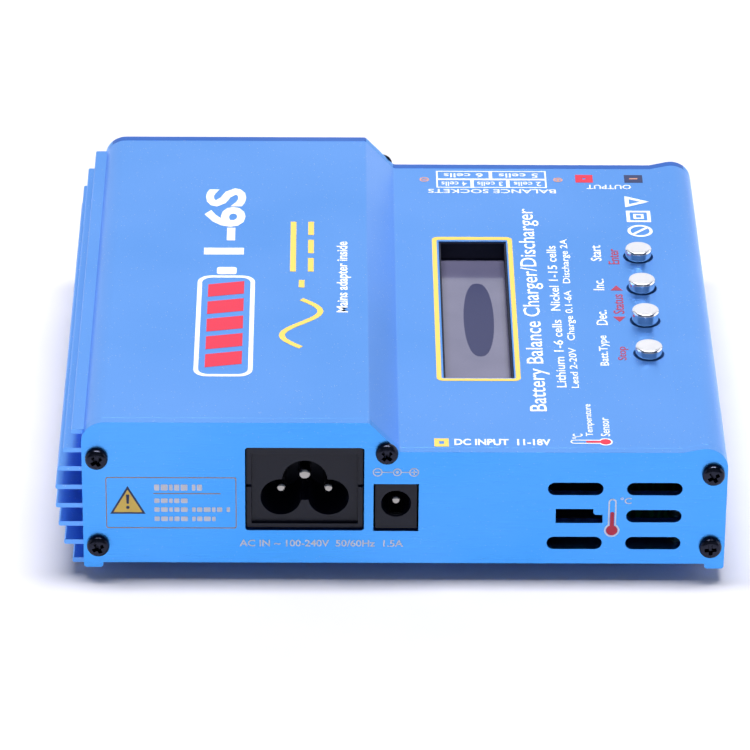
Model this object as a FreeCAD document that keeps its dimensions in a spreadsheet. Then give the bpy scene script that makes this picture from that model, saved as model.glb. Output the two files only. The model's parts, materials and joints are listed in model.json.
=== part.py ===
import FreeCAD, Part
import math
import os
import re

import Sketcher
from FreeCAD import Placement, Rotation, Vector

# Balance battery charger: an extruded aluminium case in two halves, closed by two end plates, with a
# mains supply under its high side and the charger board, display, keys and fan under its low side.
# Frame: millimetres, +Z up, origin on the table under the middle of the case. The mains inlet end faces
# -Y, the output end faces +Y, and the cooling fins face -X.

# The driving dimensions, each written once. Places named from_left are measured from the case's left
# wall, heights named height from the underside of the case, and places named y from the middle. Places
# named from_west, from_east, from_south and from_north are measured from a board's edges.
DIMENSIONS = {
    # case
    "overall_width": 144.0,
    "overall_length": 135.0,
    "case_height": 36.0,
    "low_height": 27.7,
    "step_from_left": 61.2,
    "step_run": 6.7,
    "wall": 1.8,
    "plate_thickness": 2.0,
    "corner_radius": 5.0,
    "rim_width": 9.9,
    "rim_rise": 2.2,
    "rim_radius": 4.9,
    "step_radius": 0.9,
    "rail_height": 1.2,
    "rail_width": 4.2,
    "rail_radius": 0.7,
    "seam_left_height": 28.2,
    "seam_right_height": 10.8,
    "lap": 1.5,
    "seam_gap": 0.1,
    # rubber feet, which hold the rails clear of the table
    "foot_height": 3.0,
    "foot_radius": 5.0,
    "foot_soft": 0.8,
    "foot_from_side": 15.0,
    "foot_from_end": 16.0,
    # cooling fins
    "fin_depth": 5.9,
    "fin_pitch": 4.57,
    "fin_thickness": 1.15,
    "fin_arc_radius": 38.0,
    "fin_arc_height": 15.0,
    "fin_tip_radius": 0.4,
    # end plate screws
    "screw_left": 3.2,
    "screw_right": 3.1,
    "screw_middle": 65.15,
    "screw_low_height": 4.4,
    "screw_left_height": 26.0,
    "screw_middle_height": 27.5,
    "screw_right_height": 22.5,
    "screw_radius": 1.2,
    "screw_length": 8.0,
    "screw_head_radius": 2.45,
    "screw_head_height": 1.7,
    "screw_head_soft": 0.75,
    "screw_recess": 0.9,
    "screw_recess_width": 0.75,
    "screw_recess_length": 2.9,
    "screw_hole_clearance": 0.25,
    "thread_clearance": 0.05,
    "channel_radius": 1.85,
    # circuit boards
    "board_thickness": 1.6,
    "standoff_height": 5.0,
    "standoff_radius": 2.6,
    "board_gap": 1.0,
    "board_hole_radius": 1.6,
    "board_screw_radius": 1.4,
    # mains inlet
    "inlet_from_left": 47.6,
    "inlet_width": 25.0,
    "inlet_tall": 20.0,
    "inlet_depth": 20.0,
    "inlet_setback": 0.7,
    "inlet_margin": 0.25,
    "inlet_lobe_radius": 4.35,
    "inlet_earth_lobe_radius": 4.85,
    "inlet_pin_spacing": 10.24,
    "inlet_pin_rise": 7.2,
    "inlet_earth_rise": 4.15,
    "inlet_cavity": 13.0,
    "inlet_nose_rim": 1.1,
    "inlet_nose_top": 1.7,
    "inlet_nose_depth": 0.8,
    "inlet_notch": 0.6,
    "inlet_notch_height": 10.5,
    "inlet_corner_radius": 0.4,
    "inlet_pin_radius": 1.2,
    "inlet_earth_pin_radius": 1.45,
    "inlet_pin_setback": 4.3,
    "inlet_earth_setback": 3.0,
    "inlet_pin_tail": 1.5,
    # direct current jack
    "jack_from_left": 67.2,
    "jack_width": 9.0,
    "jack_tall": 11.0,
    "jack_depth": 14.0,
    "jack_setback": 0.5,
    "jack_margin": 0.35,
    "jack_hole_rise": 6.2,
    "jack_hole_radius": 3.2,
    "jack_bore_length": 10.0,
    "jack_pin_radius": 1.05,
    "jack_pin_setback": 1.2,
    "jack_tail_radius": 0.7,
    "jack_tail": 1.0,
    "jack_spring_width": 2.8,
    "jack_spring_tall": 0.8,
    "jack_spring_sink": 0.5,
    "jack_spring_setback": 1.2,
    "jack_spring_clearance": 0.1,
    # vent slots
    "vent_first_from_left": 105.65,
    "vent_spacing": 16.95,
    "vent_length": 11.9,
    "vent_tall": 3.1,
    "vent_height": 5.2,
    "vent_pitch": 6.75,
    "rear_vent_from_left": 14.0,
    # temperature sensor port
    "port_from_left": 101.5,
    "port_width": 10.1,
    "port_tall": 3.5,
    "port_height": 10.2,
    "port_key_width": 2.0,
    "port_key_tall": 1.45,
    "port_depth": 11.0,
    "port_back": 2.5,
    "port_pin_setback": 3.0,
    "port_setback": 0.2,
    # display
    "window_from_left": 77.85,
    "window_width": 15.4,
    "window_length": 63.8,
    "window_y": -3.2,
    "display_board_width": 36.0,
    "display_board_length": 80.0,
    "bezel_width": 25.2,
    "bezel_length": 71.2,
    "bezel_tall": 4.7,
    "bezel_sheet": 0.5,
    "bezel_lip": 0.9,
    "glass_thickness": 2.2,
    "glass_margin": 0.2,
    "gasket_thickness": 2.3,
    "gasket_rim": 3.0,
    "lining_thickness": 0.3,
    "lining_setback": 0.3,
    "display_clearance": 0.1,
    "header_width": 2.5,
    "header_pin_pitch": 2.54,
    "header_inset": 1.9,
    "header_y": -13.2,
    # keys
    "key_from_left": 123.3,
    "key_first_y": -24.0,
    "key_pitch": 15.2,
    "key_hole_radius": 3.4,
    "key_cap_radius": 3.0,
    "key_crown_radius": 3.1,
    "key_crown": 0.7,
    "key_groove": 0.15,
    "key_edge": 0.25,
    "key_flange_radius": 4.0,
    "key_flange": 0.8,
    "key_travel": 0.3,
    "key_flange_gap": 0.2,
    "key_cap_socket": 3.4,
    "switch_size": 6.0,
    "switch_tall": 3.6,
    "switch_stem_radius": 1.7,
    "switch_stem_clearance": 0.15,
    "switch_stem_depth": 1.0,
    "key_board_width": 12.0,
    "key_board_length": 60.0,
    "key_board_height": 14.0,
    "key_spacer_radius": 2.2,
    "key_spacer_offset": 2.6,
    "key_spacer_inset": 3.0,
    # output sockets
    "output_red_from_left": 112.4,
    "output_spacing": 11.6,
    "output_height": 13.5,
    "output_bore_radius": 2.05,
    "output_sleeve_radius": 2.8,
    "output_barrel_radius": 3.9,
    "output_collar_rim": 0.8,
    "output_collar": 1.5,
    "output_chamfer": 0.6,
    "output_recess": 0.4,
    "output_bore_length": 17.1,
    "output_tail": 2.0,
    "output_barrel_length": 17.0,
    "output_nut_rim": 0.8,
    "output_nut_thickness": 2.4,
    "output_fit": 0.05,
    # balance sockets
    "balance_from_left": 65.0,
    "balance_pin_pitch": 2.5,
    "balance_end": 2.45,
    "balance_tall": 5.75,
    "balance_depth": 9.8,
    "balance_wall": 0.7,
    "balance_back": 2.4,
    "balance_space": 1.6,
    "balance_low_height": 8.2,
    "balance_high_height": 17.6,
    "balance_margin": 0.2,
    "balance_reach": 0.3,
    "balance_key_inset": 1.9,
    "balance_key_width": 1.1,
    "balance_key_length": 3.0,
    "balance_key_depth": 0.8,
    "balance_pin_setback": 3.0,
    "balance_board_margin": 1.0,
    "balance_board_lift": 0.4,
    "pin_width": 0.64,
    # fan
    "fan_from_left": 97.1,
    "fan_y": 0.0,
    "fan_size": 40.0,
    "fan_tall": 10.0,
    "fan_bore_radius": 18.8,
    "fan_tip_radius": 18.2,
    "fan_hub_radius": 9.0,
    "fan_hub_wall": 1.0,
    "fan_blade_thickness": 1.1,
    "fan_blade_lean": 4.2,
    "fan_strut_width": 2.2,
    "fan_base_thickness": 1.4,
    "fan_tube_radius": 2.2,
    "fan_tube_height": 7.4,
    "fan_bearing_floor": 0.6,
    "fan_shaft_floor": 1.0,
    "fan_blade_setback": 0.2,
    "fan_running_gap": 0.6,
    "fan_shaft_radius": 1.0,
    "fan_shaft_clearance": 0.05,
    "fan_hole_spacing": 32.0,
    "fan_hole_radius": 1.7,
    "grille_slot": 2.4,
    "grille_pitch": 5.0,
    "grille_rim": 1.0,
    # board fixings
    "standoff_inset": 5.4,
    "standoff_floor": 0.6,
    "board_screw_length": 5.1,
    "mains_standoff_from_south": 28.0,
    "charger_standoff_from_south": 24.0,
    "charger_standoff_from_north": 20.0,
    "charger_board_from_north": 12.0,
    # parts of the mains supply
    "fuse_radius": 2.6,
    "fuse_length": 20.0,
    "fuse_from_west": 9.0,
    "fuse_from_south": 6.0,
    "suppressor_width": 18.0,
    "suppressor_length": 8.5,
    "suppressor_tall": 14.5,
    "suppressor_from_west": 12.0,
    "suppressor_from_south": 18.0,
    "filter_choke_radius": 10.5,
    "filter_choke_hole_radius": 4.2,
    "filter_choke_tall": 8.0,
    "filter_choke_from_west": 16.0,
    "filter_choke_from_south": 38.0,
    "bulk_capacitor_radius": 9.0,
    "bulk_capacitor_tall": 22.5,
    "bulk_capacitor_from_east": 14.0,
    "bulk_capacitor_from_south": 42.0,
    "core_width": 28.0,
    "core_length": 11.0,
    "core_tall": 23.0,
    "core_leg": 4.0,
    "core_middle_leg": 8.0,
    "core_from_east": 18.0,
    "core_from_south": 70.0,
    "winding_length": 22.0,
    "winding_gap": 0.2,
    "output_capacitor_radius": 5.0,
    "output_capacitor_tall": 20.0,
    "output_capacitor_pitch": 12.0,
    "output_capacitor_from_north": 26.0,
    "transistor_thickness": 4.5,
    "transistor_width": 10.0,
    "transistor_tall": 12.5,
    "transistor_lift": 2.0,
    "transistor_gap": 0.1,
    "transistor_first_y": -24.0,
    "transistor_pitch": 18.0,
    "leg_pitch": 2.54,
    "leg_width": 0.9,
    "leg_thickness": 0.8,
    # parts of the charger board
    "chip_width": 12.0,
    "chip_tall": 1.6,
    "chip_from_west": 24.0,
    "chip_from_south": 14.0,
    "charge_choke_radius": 8.0,
    "charge_choke_hole_radius": 3.0,
    "charge_choke_tall": 6.0,
    "charge_choke_from_west": 26.0,
    "charge_choke_from_north": 29.0,
    "charge_choke_pitch": 19.0,
    "buzzer_radius": 4.8,
    "buzzer_tall": 7.0,
    "buzzer_from_east": 18.0,
    "buzzer_from_south": 20.0,
    # leads between the boards
    "lead_radius": 0.8,
    "lead_rise": 5.0,
    "lead_bend": 2.5,
    "lead_inset": 3.5,
    "lead_from_north": 36.0,
    "lead_pitch": 5.0,
}
FIN_COUNT = 8
BLADE_COUNT = 7
HEADER_PINS = 16
# How much of the display header's height is its plastic block.
HEADER_BLOCK_SHARE = 0.9
# How far past a surface a cutting tool reaches, and how deep two fused solids overlap.
PAST = "1"
BALANCE_CELLS = {"2s": 3, "3s": 4, "4s": 5, "5s": 6, "6s": 7}
# How far each key stands above the case, from the mains end to the output end.
KEYS = {"stop": 2.2, "dec": 3.0, "inc": 2.55, "start": 2.4}
# How far each end plate screw's cross recess is turned, in degrees.
SCREW_TURNS = {"low_left": 35, "high_left": 28, "middle": 45, "high_right": 30, "low_right": 4}

# Places worked out from the dimensions, as FreeCAD expressions.
LEFT = "(-overall_width / 2 + fin_depth)"
RIGHT = "(overall_width / 2)"
END = "(overall_length / 2)"
RAILS = "foot_height"
HIGH = f"({RAILS} + case_height)"
UNDER = "(foot_height + rail_height)"
LOW = f"({UNDER} + low_height)"
STEP_HIGH = f"({LEFT} + step_from_left)"
STEP_LOW = f"({STEP_HIGH} + step_run)"
STEP_CORNERS = [(STEP_HIGH, HIGH), (STEP_LOW, LOW), (f"{RIGHT} - rim_width", LOW)]
STEP_INSET = f"(wall * tan(atan(({HIGH} - {LOW}) / step_run) / 2))"
FLOOR = f"({UNDER} + wall)"
BOARD = f"({FLOOR} + standoff_height + board_thickness)"
CASE_LENGTH = "(overall_length - 2 * plate_thickness)"
INNER_END = f"({CASE_LENGTH} / 2)"
SEAM_LEFT = f"({UNDER} + seam_left_height)"
SEAM_RIGHT = f"({UNDER} + seam_right_height)"
DIVIDE = f"({LEFT} + inlet_from_left + inlet_width / 2 + inlet_margin)"
WINDOW_X = f"({LEFT} + window_from_left + window_width / 2)"
FAN_X = f"({LEFT} + fan_from_left)"
DISPLAY_TOP = f"({LOW} - wall - gasket_thickness - display_clearance)"
DISPLAY_BOARD = f"({DISPLAY_TOP} - bezel_tall)"
KEY_X = f"({LEFT} + key_from_left)"
KEY_BOARD = f"({UNDER} + key_board_height + board_thickness)"
OUTPUT_Z = f"({UNDER} + output_height)"
BALANCE_FACE = f"({END} + balance_reach)"
BALANCE_BOARD = f"({BALANCE_FACE} - balance_depth)"

AXIS_TURN = {
    "+X": Rotation(Vector(0, 1, 0), 90),
    "-X": Rotation(Vector(0, 1, 0), -90),
    "+Y": Rotation(Vector(1, 0, 0), -90),
    "-Y": Rotation(Vector(1, 0, 0), 90),
    "+Z": Rotation(),
    "-Z": Rotation(Vector(1, 0, 0), 180),
}

doc = FreeCAD.newDocument("balance_charger")
sheet = doc.addObject("Spreadsheet::Sheet", "dims")
for row, (alias, number) in enumerate(DIMENSIONS.items(), start=1):
    sheet.set(f"A{row}", alias)
    sheet.set(f"B{row}", str(number))
    sheet.setAlias(f"B{row}", alias)
doc.recompute()
nodes = {}


# --- helpers ---------------------------------------------------------------------------------------


def bound(expression):
    """The expression with each dimension's name written as a reference to the sheet."""
    def named(match):
        word = match[0]
        return f"dims.{word}" if word in DIMENSIONS else word

    return re.sub(r"[a-z_][a-z_0-9]*", named, str(expression))


def value(expression):
    """The expression's number."""
    return float(sheet.evalExpression(str(expression)))


def bind(item, **properties):
    """Binds an object's properties to expressions of the dimensions."""
    for name, expression in properties.items():
        item.setExpression(name, bound(expression))
    return item


def place(item, x, y, z, axis="+Z", turn=0):
    """Binds an object's place, with its own Z axis laid along a frame axis and turned about that."""
    item.Placement = Placement(Vector(), AXIS_TURN[axis] * Rotation(Vector(0, 0, 1), turn))
    for name, expression in (("x", x), ("y", y), ("z", z)):
        item.setExpression(f"Placement.Base.{name}", bound(expression))
    return item


def box(x, y, z, width, length, tall, centred="xy"):
    """A box, centred on x and y unless told otherwise, standing on z."""
    item = bind(doc.addObject("Part::Box", "Box"), Length=width, Width=length, Height=tall)
    corner_x = f"{x} - ({width}) / 2" if "x" in centred else x
    corner_y = f"{y} - ({length}) / 2" if "y" in centred else y
    corner_z = f"{z} - ({tall}) / 2" if "z" in centred else z
    return place(item, corner_x, corner_y, corner_z)


def cylinder(x, y, z, radius, tall, axis="+Z"):
    item = bind(doc.addObject("Part::Cylinder", "Cylinder"), Radius=radius, Height=tall)
    return place(item, x, y, z, axis)


def fuse(*items):
    item = doc.addObject("Part::MultiFuse", "Fusion")
    item.Shapes = list(items)
    return item


def group(*items):
    """Separate solids in one object."""
    item = doc.addObject("Part::Compound", "Group")
    item.Links = list(items)
    return item


def cut(base, *tools):
    item = doc.addObject("Part::Cut", "Cut")
    item.Base = base
    item.Tool = tools[0] if len(tools) == 1 else fuse(*tools)
    return item


def rounded(base, radius, test):
    """The base with a fillet on each edge whose midpoint and direction pass the test."""
    doc.recompute()
    item = doc.addObject("Part::Fillet", "Round")
    item.Base = base
    item.Edges = [(n, radius, radius) for n, edge in enumerate(base.Shape.Edges, start=1) if test(edge)]
    return item


def node(name, item):
    """Names a finished sub-part."""
    item.Label = name
    nodes[name] = item
    return item


def new_body(name):
    item = doc.addObject("PartDesign::Body", "Body")
    node(name, item)
    return item


def new_sketch(body, plane, offset="0"):
    """A sketch on one of the body's origin planes, moved along the plane's normal."""
    sketch = body.newObject("Sketcher::SketchObject", "Sketch")
    support = [feature for feature in body.Origin.OriginFeatures if feature.Role == plane][0]
    sketch.AttachmentSupport = [(support, "")]
    sketch.MapMode = "FlatFace"
    sketch.setExpression("AttachmentOffset.Base.z", bound(offset))
    return sketch


def fix_point(sketch, geometry, point, x, y):
    """Constrains a sketch point to the expressions x and y."""
    for kind, expression in (("DistanceX", x), ("DistanceY", y)):
        made = sketch.addConstraint(Sketcher.Constraint(kind, -1, 1, geometry, point, value(expression)))
        sketch.setExpression(f"Constraints[{made}]", bound(expression))


def fix_radius(sketch, geometry, radius):
    made = sketch.addConstraint(Sketcher.Constraint("Radius", geometry, value(radius)))
    sketch.setExpression(f"Constraints[{made}]", bound(radius))


def draw_outline(sketch, points):
    """A closed outline of straight lines through points given as pairs of expressions."""
    corners = [Vector(value(x), value(y), 0) for x, y in points]
    first = sketch.GeometryCount
    for start, end in zip(corners, corners[1:] + corners[:1]):
        sketch.addGeometry(Part.LineSegment(start, end))
    for n, (x, y) in enumerate(points):
        following = first + (n + 1) % len(points)
        sketch.addConstraint(Sketcher.Constraint("Coincident", first + n, 2, following, 1))
        fix_point(sketch, first + n, 1, x, y)


def draw_rectangle(sketch, x, y, width, tall):
    """A rectangle centred on x and y."""
    west, east = f"{x} - ({width}) / 2", f"{x} + ({width}) / 2"
    south, north = f"{y} - ({tall}) / 2", f"{y} + ({tall}) / 2"
    draw_outline(sketch, [(west, south), (east, south), (east, north), (west, north)])


def draw_circle(sketch, x, y, radius):
    centre = Vector(value(x), value(y), 0)
    made = sketch.addGeometry(Part.Circle(centre, Vector(0, 0, 1), value(radius)))
    fix_point(sketch, made, 3, x, y)
    fix_radius(sketch, made, radius)


def draw_slot(sketch, x, y, length, tall):
    """A slot with round ends, centred on x and y and running along the sketch's X."""
    half = f"(({length} - {tall}) / 2)"
    reach, radius = value(half), value(tall) / 2
    east, west = Vector(value(x) + reach, value(y), 0), Vector(value(x) - reach, value(y), 0)
    up, normal = Vector(0, radius, 0), Vector(0, 0, 1)
    quarter = math.pi / 2
    right = sketch.addGeometry(Part.ArcOfCircle(Part.Circle(east, normal, radius), -quarter, quarter))
    top = sketch.addGeometry(Part.LineSegment(east + up, west + up))
    left = sketch.addGeometry(Part.ArcOfCircle(Part.Circle(west, normal, radius), quarter, 3 * quarter))
    bottom = sketch.addGeometry(Part.LineSegment(west - up, east - up))
    for before, after in ((right, top), (top, left), (left, bottom), (bottom, right)):
        sketch.addConstraint(Sketcher.Constraint("Tangent", before, 2, after, 1))
    sketch.addConstraint(Sketcher.Constraint("Equal", right, left))
    fix_point(sketch, right, 3, f"{x} + {half}", y)
    fix_point(sketch, left, 3, f"{x} - {half}", y)
    fix_radius(sketch, right, f"{tall} / 2")


def pad(body, sketch, length, both_ways=False, backwards=False):
    feature = body.newObject("PartDesign::Pad", "Pad")
    feature.Profile = sketch
    feature.Midplane = both_ways
    feature.Reversed = backwards
    return bind(feature, Length=length)


def pocket(body, sketch, length=None, backwards=False):
    """A pocket of that depth, or all the way through both ways where no depth is given."""
    before = solid_volume(body)
    feature = body.newObject("PartDesign::Pocket", "Pocket")
    feature.Profile = sketch
    feature.Reversed = backwards
    if length is None:
        feature.Type = "ThroughAll"
        feature.Midplane = True
    else:
        bind(feature, Length=length)
    if not solid_volume(body) < before - 1e-6:
        raise SystemExit(f"a pocket in {body.Label} cuts nothing")
    return feature


def solid_volume(body):
    doc.recompute()
    return body.Shape.Volume


def edges_along_y(shape, places):
    """The names of the straight edges along Y through the places, pairs of x and z expressions."""
    wanted = [(value(x), value(z)) for x, z in places]
    names = []
    for n, edge in enumerate(shape.Edges, start=1):
        extent = edge.BoundBox
        along = extent.XLength < 1e-4 and extent.ZLength < 1e-4
        if along and any(math.hypot(extent.XMin - x, extent.ZMin - z) < 1e-3 for x, z in wanted):
            names.append(f"Edge{n}")
    return names


def round_corners(body, radius, places):
    """Fillets the body's edges along Y at those places."""
    doc.recompute()
    base = body.Tip
    names = edges_along_y(base.Shape, places)
    if len(names) < len(places):
        raise SystemExit(f"{body.Label}: {len(names)} edges found for {len(places)} corners")
    feature = body.newObject("PartDesign::Fillet", "Fillet")
    feature.Base = (base, names)
    return bind(feature, Radius=radius)


def revolve(body, points, plane="XZ_Plane"):
    """A turned piece: an outline of (radius, height) pairs, turned about the body's own Z axis."""
    sketch = new_sketch(body, plane)
    draw_outline(sketch, points)
    feature = body.newObject("PartDesign::Revolution", "Revolution")
    feature.Profile = sketch
    feature.ReferenceAxis = (sketch, ["V_Axis"])
    feature.Angle = 360
    return feature


# --- case ------------------------------------------------------------------------------------------

# The five end plate screws: x and z of each.
SCREWS = {
    "low_left": (f"({LEFT} + screw_left)", f"({UNDER} + screw_low_height)"),
    "high_left": (f"({LEFT} + screw_left)", f"({UNDER} + screw_left_height)"),
    "middle": (f"({LEFT} + screw_middle)", f"({UNDER} + screw_middle_height)"),
    "high_right": (f"({RIGHT} - screw_right)", f"({UNDER} + screw_right_height)"),
    "low_right": (f"({RIGHT} - screw_right)", f"({UNDER} + screw_low_height)"),
}
TRAY_SCREWS = ("low_left", "high_left", "low_right")
COVER_SCREWS = ("middle", "high_right")


def fin_reach(tall):
    """How far a fin whose middle is at that height stands out: the tips lie on an arc."""
    drop = f"({tall} - {UNDER} - fin_arc_height)"
    return f"(fin_depth - fin_arc_radius + sqrt(fin_arc_radius ^ 2 - {drop} ^ 2))"


def add_fins(body, numbers):
    """Cooling fins along the left wall, counted from the bottom."""
    sketch = new_sketch(body, "XZ_Plane")
    tips = []
    for n in numbers:
        low = f"({RAILS} + {n} * fin_pitch)"
        tip = f"({LEFT} - {fin_reach(f'({low} + fin_thickness / 2)')})"
        high = f"({low} + fin_thickness)"
        root = f"({LEFT} + wall / 2)"
        draw_outline(sketch, [(tip, low), (root, low), (root, high), (tip, high)])
        tips += [(tip, low), (tip, high)]
    pad(body, sketch, CASE_LENGTH, both_ways=True)
    round_corners(body, "fin_tip_radius", tips)


def add_screw_channels(body, names):
    """Round channels along the inside of an extrusion that the end plate screws cut their thread in."""
    channels = new_sketch(body, "XZ_Plane")
    for name in names:
        draw_circle(channels, *SCREWS[name], "channel_radius")
    pad(body, channels, CASE_LENGTH, both_ways=True)
    holes = new_sketch(body, "XZ_Plane")
    for name in names:
        draw_circle(holes, *SCREWS[name], "screw_radius + thread_clearance")
    pocket(body, holes)


def make_top_cover():
    body = new_body("top_cover")
    outer_left, inner_left = LEFT, f"({LEFT} + wall)"
    lap_left, lap_right = f"({LEFT} + wall / 2)", f"({RIGHT} - wall / 2)"
    inner_right = f"({RIGHT} - wall)"
    profile = new_sketch(body, "XZ_Plane")
    draw_outline(profile, [
        (outer_left, SEAM_LEFT), (outer_left, HIGH), (STEP_HIGH, HIGH), (STEP_LOW, LOW),
        (f"{RIGHT} - rim_width", LOW), (RIGHT, f"{LOW} + rim_rise"), (RIGHT, SEAM_RIGHT),
        (lap_right, SEAM_RIGHT), (lap_right, f"{SEAM_RIGHT} + lap"), (inner_right, f"{SEAM_RIGHT} + lap"),
        (inner_right, f"{LOW} - wall"), (f"{STEP_LOW} - {STEP_INSET}", f"{LOW} - wall"),
        (f"{STEP_HIGH} - {STEP_INSET}", f"{HIGH} - wall"), (inner_left, f"{HIGH} - wall"),
        (inner_left, f"{SEAM_LEFT} + lap"), (lap_left, f"{SEAM_LEFT} + lap"), (lap_left, SEAM_LEFT),
    ])
    pad(body, profile, CASE_LENGTH, both_ways=True)
    round_corners(body, "corner_radius", [(outer_left, HIGH)])
    round_corners(body, "corner_radius / 2", [(inner_left, f"{HIGH} - wall")])
    round_corners(body, "rim_radius", [(RIGHT, f"{LOW} + rim_rise")])
    round_corners(body, "step_radius", STEP_CORNERS)
    add_fins(body, [FIN_COUNT - 1])
    add_screw_channels(body, COVER_SCREWS)
    window = new_sketch(body, "XY_Plane", f"{LOW} - wall / 2")
    draw_rectangle(window, WINDOW_X, "window_y", "window_width", "window_length")
    pocket(body, window)
    keys = new_sketch(body, "XY_Plane", f"{LOW} - wall / 2")
    for n in range(len(KEYS)):
        draw_circle(keys, KEY_X, f"key_first_y + {n} * key_pitch", "key_hole_radius")
    pocket(body, keys)


def fan_holes():
    """The fan's four screw places."""
    reach = "fan_hole_spacing / 2"
    return [(f"{FAN_X} {a} {reach}", f"fan_y {b} {reach}") for a in "+-" for b in "+-"]


def make_bottom_tray():
    body = new_body("bottom_tray")
    inner_left, inner_right = f"({LEFT} + wall)", f"({RIGHT} - wall)"
    tongue_left, tongue_right = f"({LEFT} + wall / 2 + seam_gap)", f"({RIGHT} - wall / 2 - seam_gap)"
    top_left, top_right = f"({SEAM_LEFT} - seam_gap)", f"({SEAM_RIGHT} - seam_gap)"
    profile = new_sketch(body, "XZ_Plane")
    draw_outline(profile, [
        (LEFT, RAILS), (LEFT, top_left), (tongue_left, top_left), (tongue_left, f"{top_left} + lap"),
        (inner_left, f"{top_left} + lap"), (inner_left, FLOOR), (inner_right, FLOOR),
        (inner_right, f"{top_right} + lap"), (tongue_right, f"{top_right} + lap"), (tongue_right, top_right),
        (RIGHT, top_right), (RIGHT, RAILS), (f"{RIGHT} - rail_width", RAILS),
        (f"{RIGHT} - rail_width", UNDER), (f"{LEFT} + rail_width", UNDER),
        (f"{LEFT} + rail_width", RAILS),
    ])
    pad(body, profile, CASE_LENGTH, both_ways=True)
    round_corners(body, "rail_radius", [
        (RIGHT, RAILS), (f"{RIGHT} - rail_width", RAILS), (f"{LEFT} + rail_width", RAILS),
    ])
    add_fins(body, range(FIN_COUNT - 1))
    add_screw_channels(body, TRAY_SCREWS)
    grille = new_sketch(body, "XY_Plane", f"{UNDER} + wall / 2")
    for n in range(-3, 4):
        offset = f"({n} * grille_pitch)"
        length = f"(2 * sqrt((fan_bore_radius - grille_rim) ^ 2 - {offset} ^ 2))"
        draw_slot(grille, FAN_X, f"fan_y + {offset}", length, "grille_slot")
    pocket(body, grille)
    fixings = new_sketch(body, "XY_Plane", f"{UNDER} + wall / 2")
    for x, y in fan_holes():
        draw_circle(fixings, x, y, "board_screw_radius + screw_hole_clearance")
    pocket(body, fixings)


def make_rubber_feet():
    """Round rubber feet stuck under the corners of the case."""
    feet = []
    for x in (f"{LEFT} + foot_from_side", f"{RIGHT} - foot_from_side"):
        for y in (f"foot_from_end - {END}", f"{END} - foot_from_end"):
            blank = cylinder("0", "0", "0", "foot_radius", UNDER)
            foot = rounded(blank, value("foot_soft"), lambda edge: edge.Closed and edge.BoundBox.ZMax < 0.1)
            feet.append(place(foot, x, y, "0"))
    node("rubber_feet", group(*feet))


def plate_outline(sketch):
    """The case's end view without its fins, rails included."""
    draw_outline(sketch, [
        (LEFT, RAILS), (f"{LEFT} + rail_width", RAILS), (f"{LEFT} + rail_width", UNDER),
        (f"{RIGHT} - rail_width", UNDER), (f"{RIGHT} - rail_width", RAILS), (RIGHT, RAILS),
        (RIGHT, f"{LOW} + rim_rise"), (f"{RIGHT} - rim_width", LOW), (STEP_LOW, LOW), (STEP_HIGH, HIGH),
        (LEFT, HIGH),
    ])


def make_plate(name, side):
    """An end plate's blank with its screw holes. side is -1 at the mains end and 1 at the output end."""
    body = new_body(name)
    face = f"{-side} * {END}"  # the XZ plane's normal points to -Y
    outline = new_sketch(body, "XZ_Plane", face)
    plate_outline(outline)
    pad(body, outline, "plate_thickness", backwards=side < 0)
    round_corners(body, "corner_radius", [(LEFT, HIGH)])
    round_corners(body, "rim_radius", [(RIGHT, f"{LOW} + rim_rise")])
    round_corners(body, "step_radius", STEP_CORNERS)
    round_corners(body, "rail_radius", [
        (LEFT, RAILS), (f"{LEFT} + rail_width", RAILS), (f"{RIGHT} - rail_width", RAILS), (RIGHT, RAILS),
    ])
    holes = new_sketch(body, "XZ_Plane", face)
    for x, z in SCREWS.values():
        draw_circle(holes, x, z, "screw_radius + screw_hole_clearance")
    pocket(body, holes)
    return body, face


def draw_vents(sketch, first_x, skip=None):
    """Two columns of three vent slots, without the one where another opening is."""
    for column in range(2):
        for row in range(3):
            if (column, row) != skip:
                x = f"{LEFT} + {first_x} + {column} * vent_spacing"
                z = f"{UNDER} + vent_height + {row} * vent_pitch"
                draw_slot(sketch, x, z, "vent_length", "vent_tall")


def make_front_plate():
    body, face = make_plate("front_plate", -1)
    cuts = new_sketch(body, "XZ_Plane", face)
    draw_rectangle(cuts, INLET_X, INLET_Z, "inlet_width + 2 * inlet_margin", "inlet_tall + 2 * inlet_margin")
    draw_rectangle(cuts, JACK_X, f"{BOARD} + jack_tall / 2", "jack_width + 2 * jack_margin",
                   "jack_tall + 2 * jack_margin")
    draw_vents(cuts, "vent_first_from_left", skip=(0, 1))
    west, south = f"{LEFT} + port_from_left", f"{UNDER} + port_height"
    east, north = f"{west} + port_width", f"{south} + port_tall"
    key_x, key_z = f"{east} - port_key_width", f"{north} - port_key_tall"
    draw_outline(cuts, [
        (west, south), (east, south), (east, key_z), (key_x, key_z), (key_x, north), (west, north),
    ])
    pocket(body, cuts)
    half_wide, half_tall = "(inlet_width / 2 + inlet_margin)", "(inlet_tall / 2 + inlet_margin)"
    round_corners(body, "rail_radius", [
        (f"{INLET_X} {a} {half_wide}", f"{INLET_Z} {b} {half_tall}") for a in "+-" for b in "+-"
    ])
    round_corners(body, "rail_radius", [(key_x, key_z)])


def make_rear_plate():
    body, face = make_plate("rear_plate", 1)
    cuts = new_sketch(body, "XZ_Plane", face)
    for cells in BALANCE_CELLS:
        x, z, width = balance_place(cells)
        draw_rectangle(cuts, x, z, f"{width} + 2 * balance_margin", "balance_tall + 2 * balance_margin")
    for x in OUTPUT_X.values():
        draw_circle(cuts, x, OUTPUT_Z, "output_barrel_radius + output_fit")
    draw_vents(cuts, "rear_vent_from_left")
    pocket(body, cuts)


# --- screws ----------------------------------------------------------------------------------------


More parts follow.
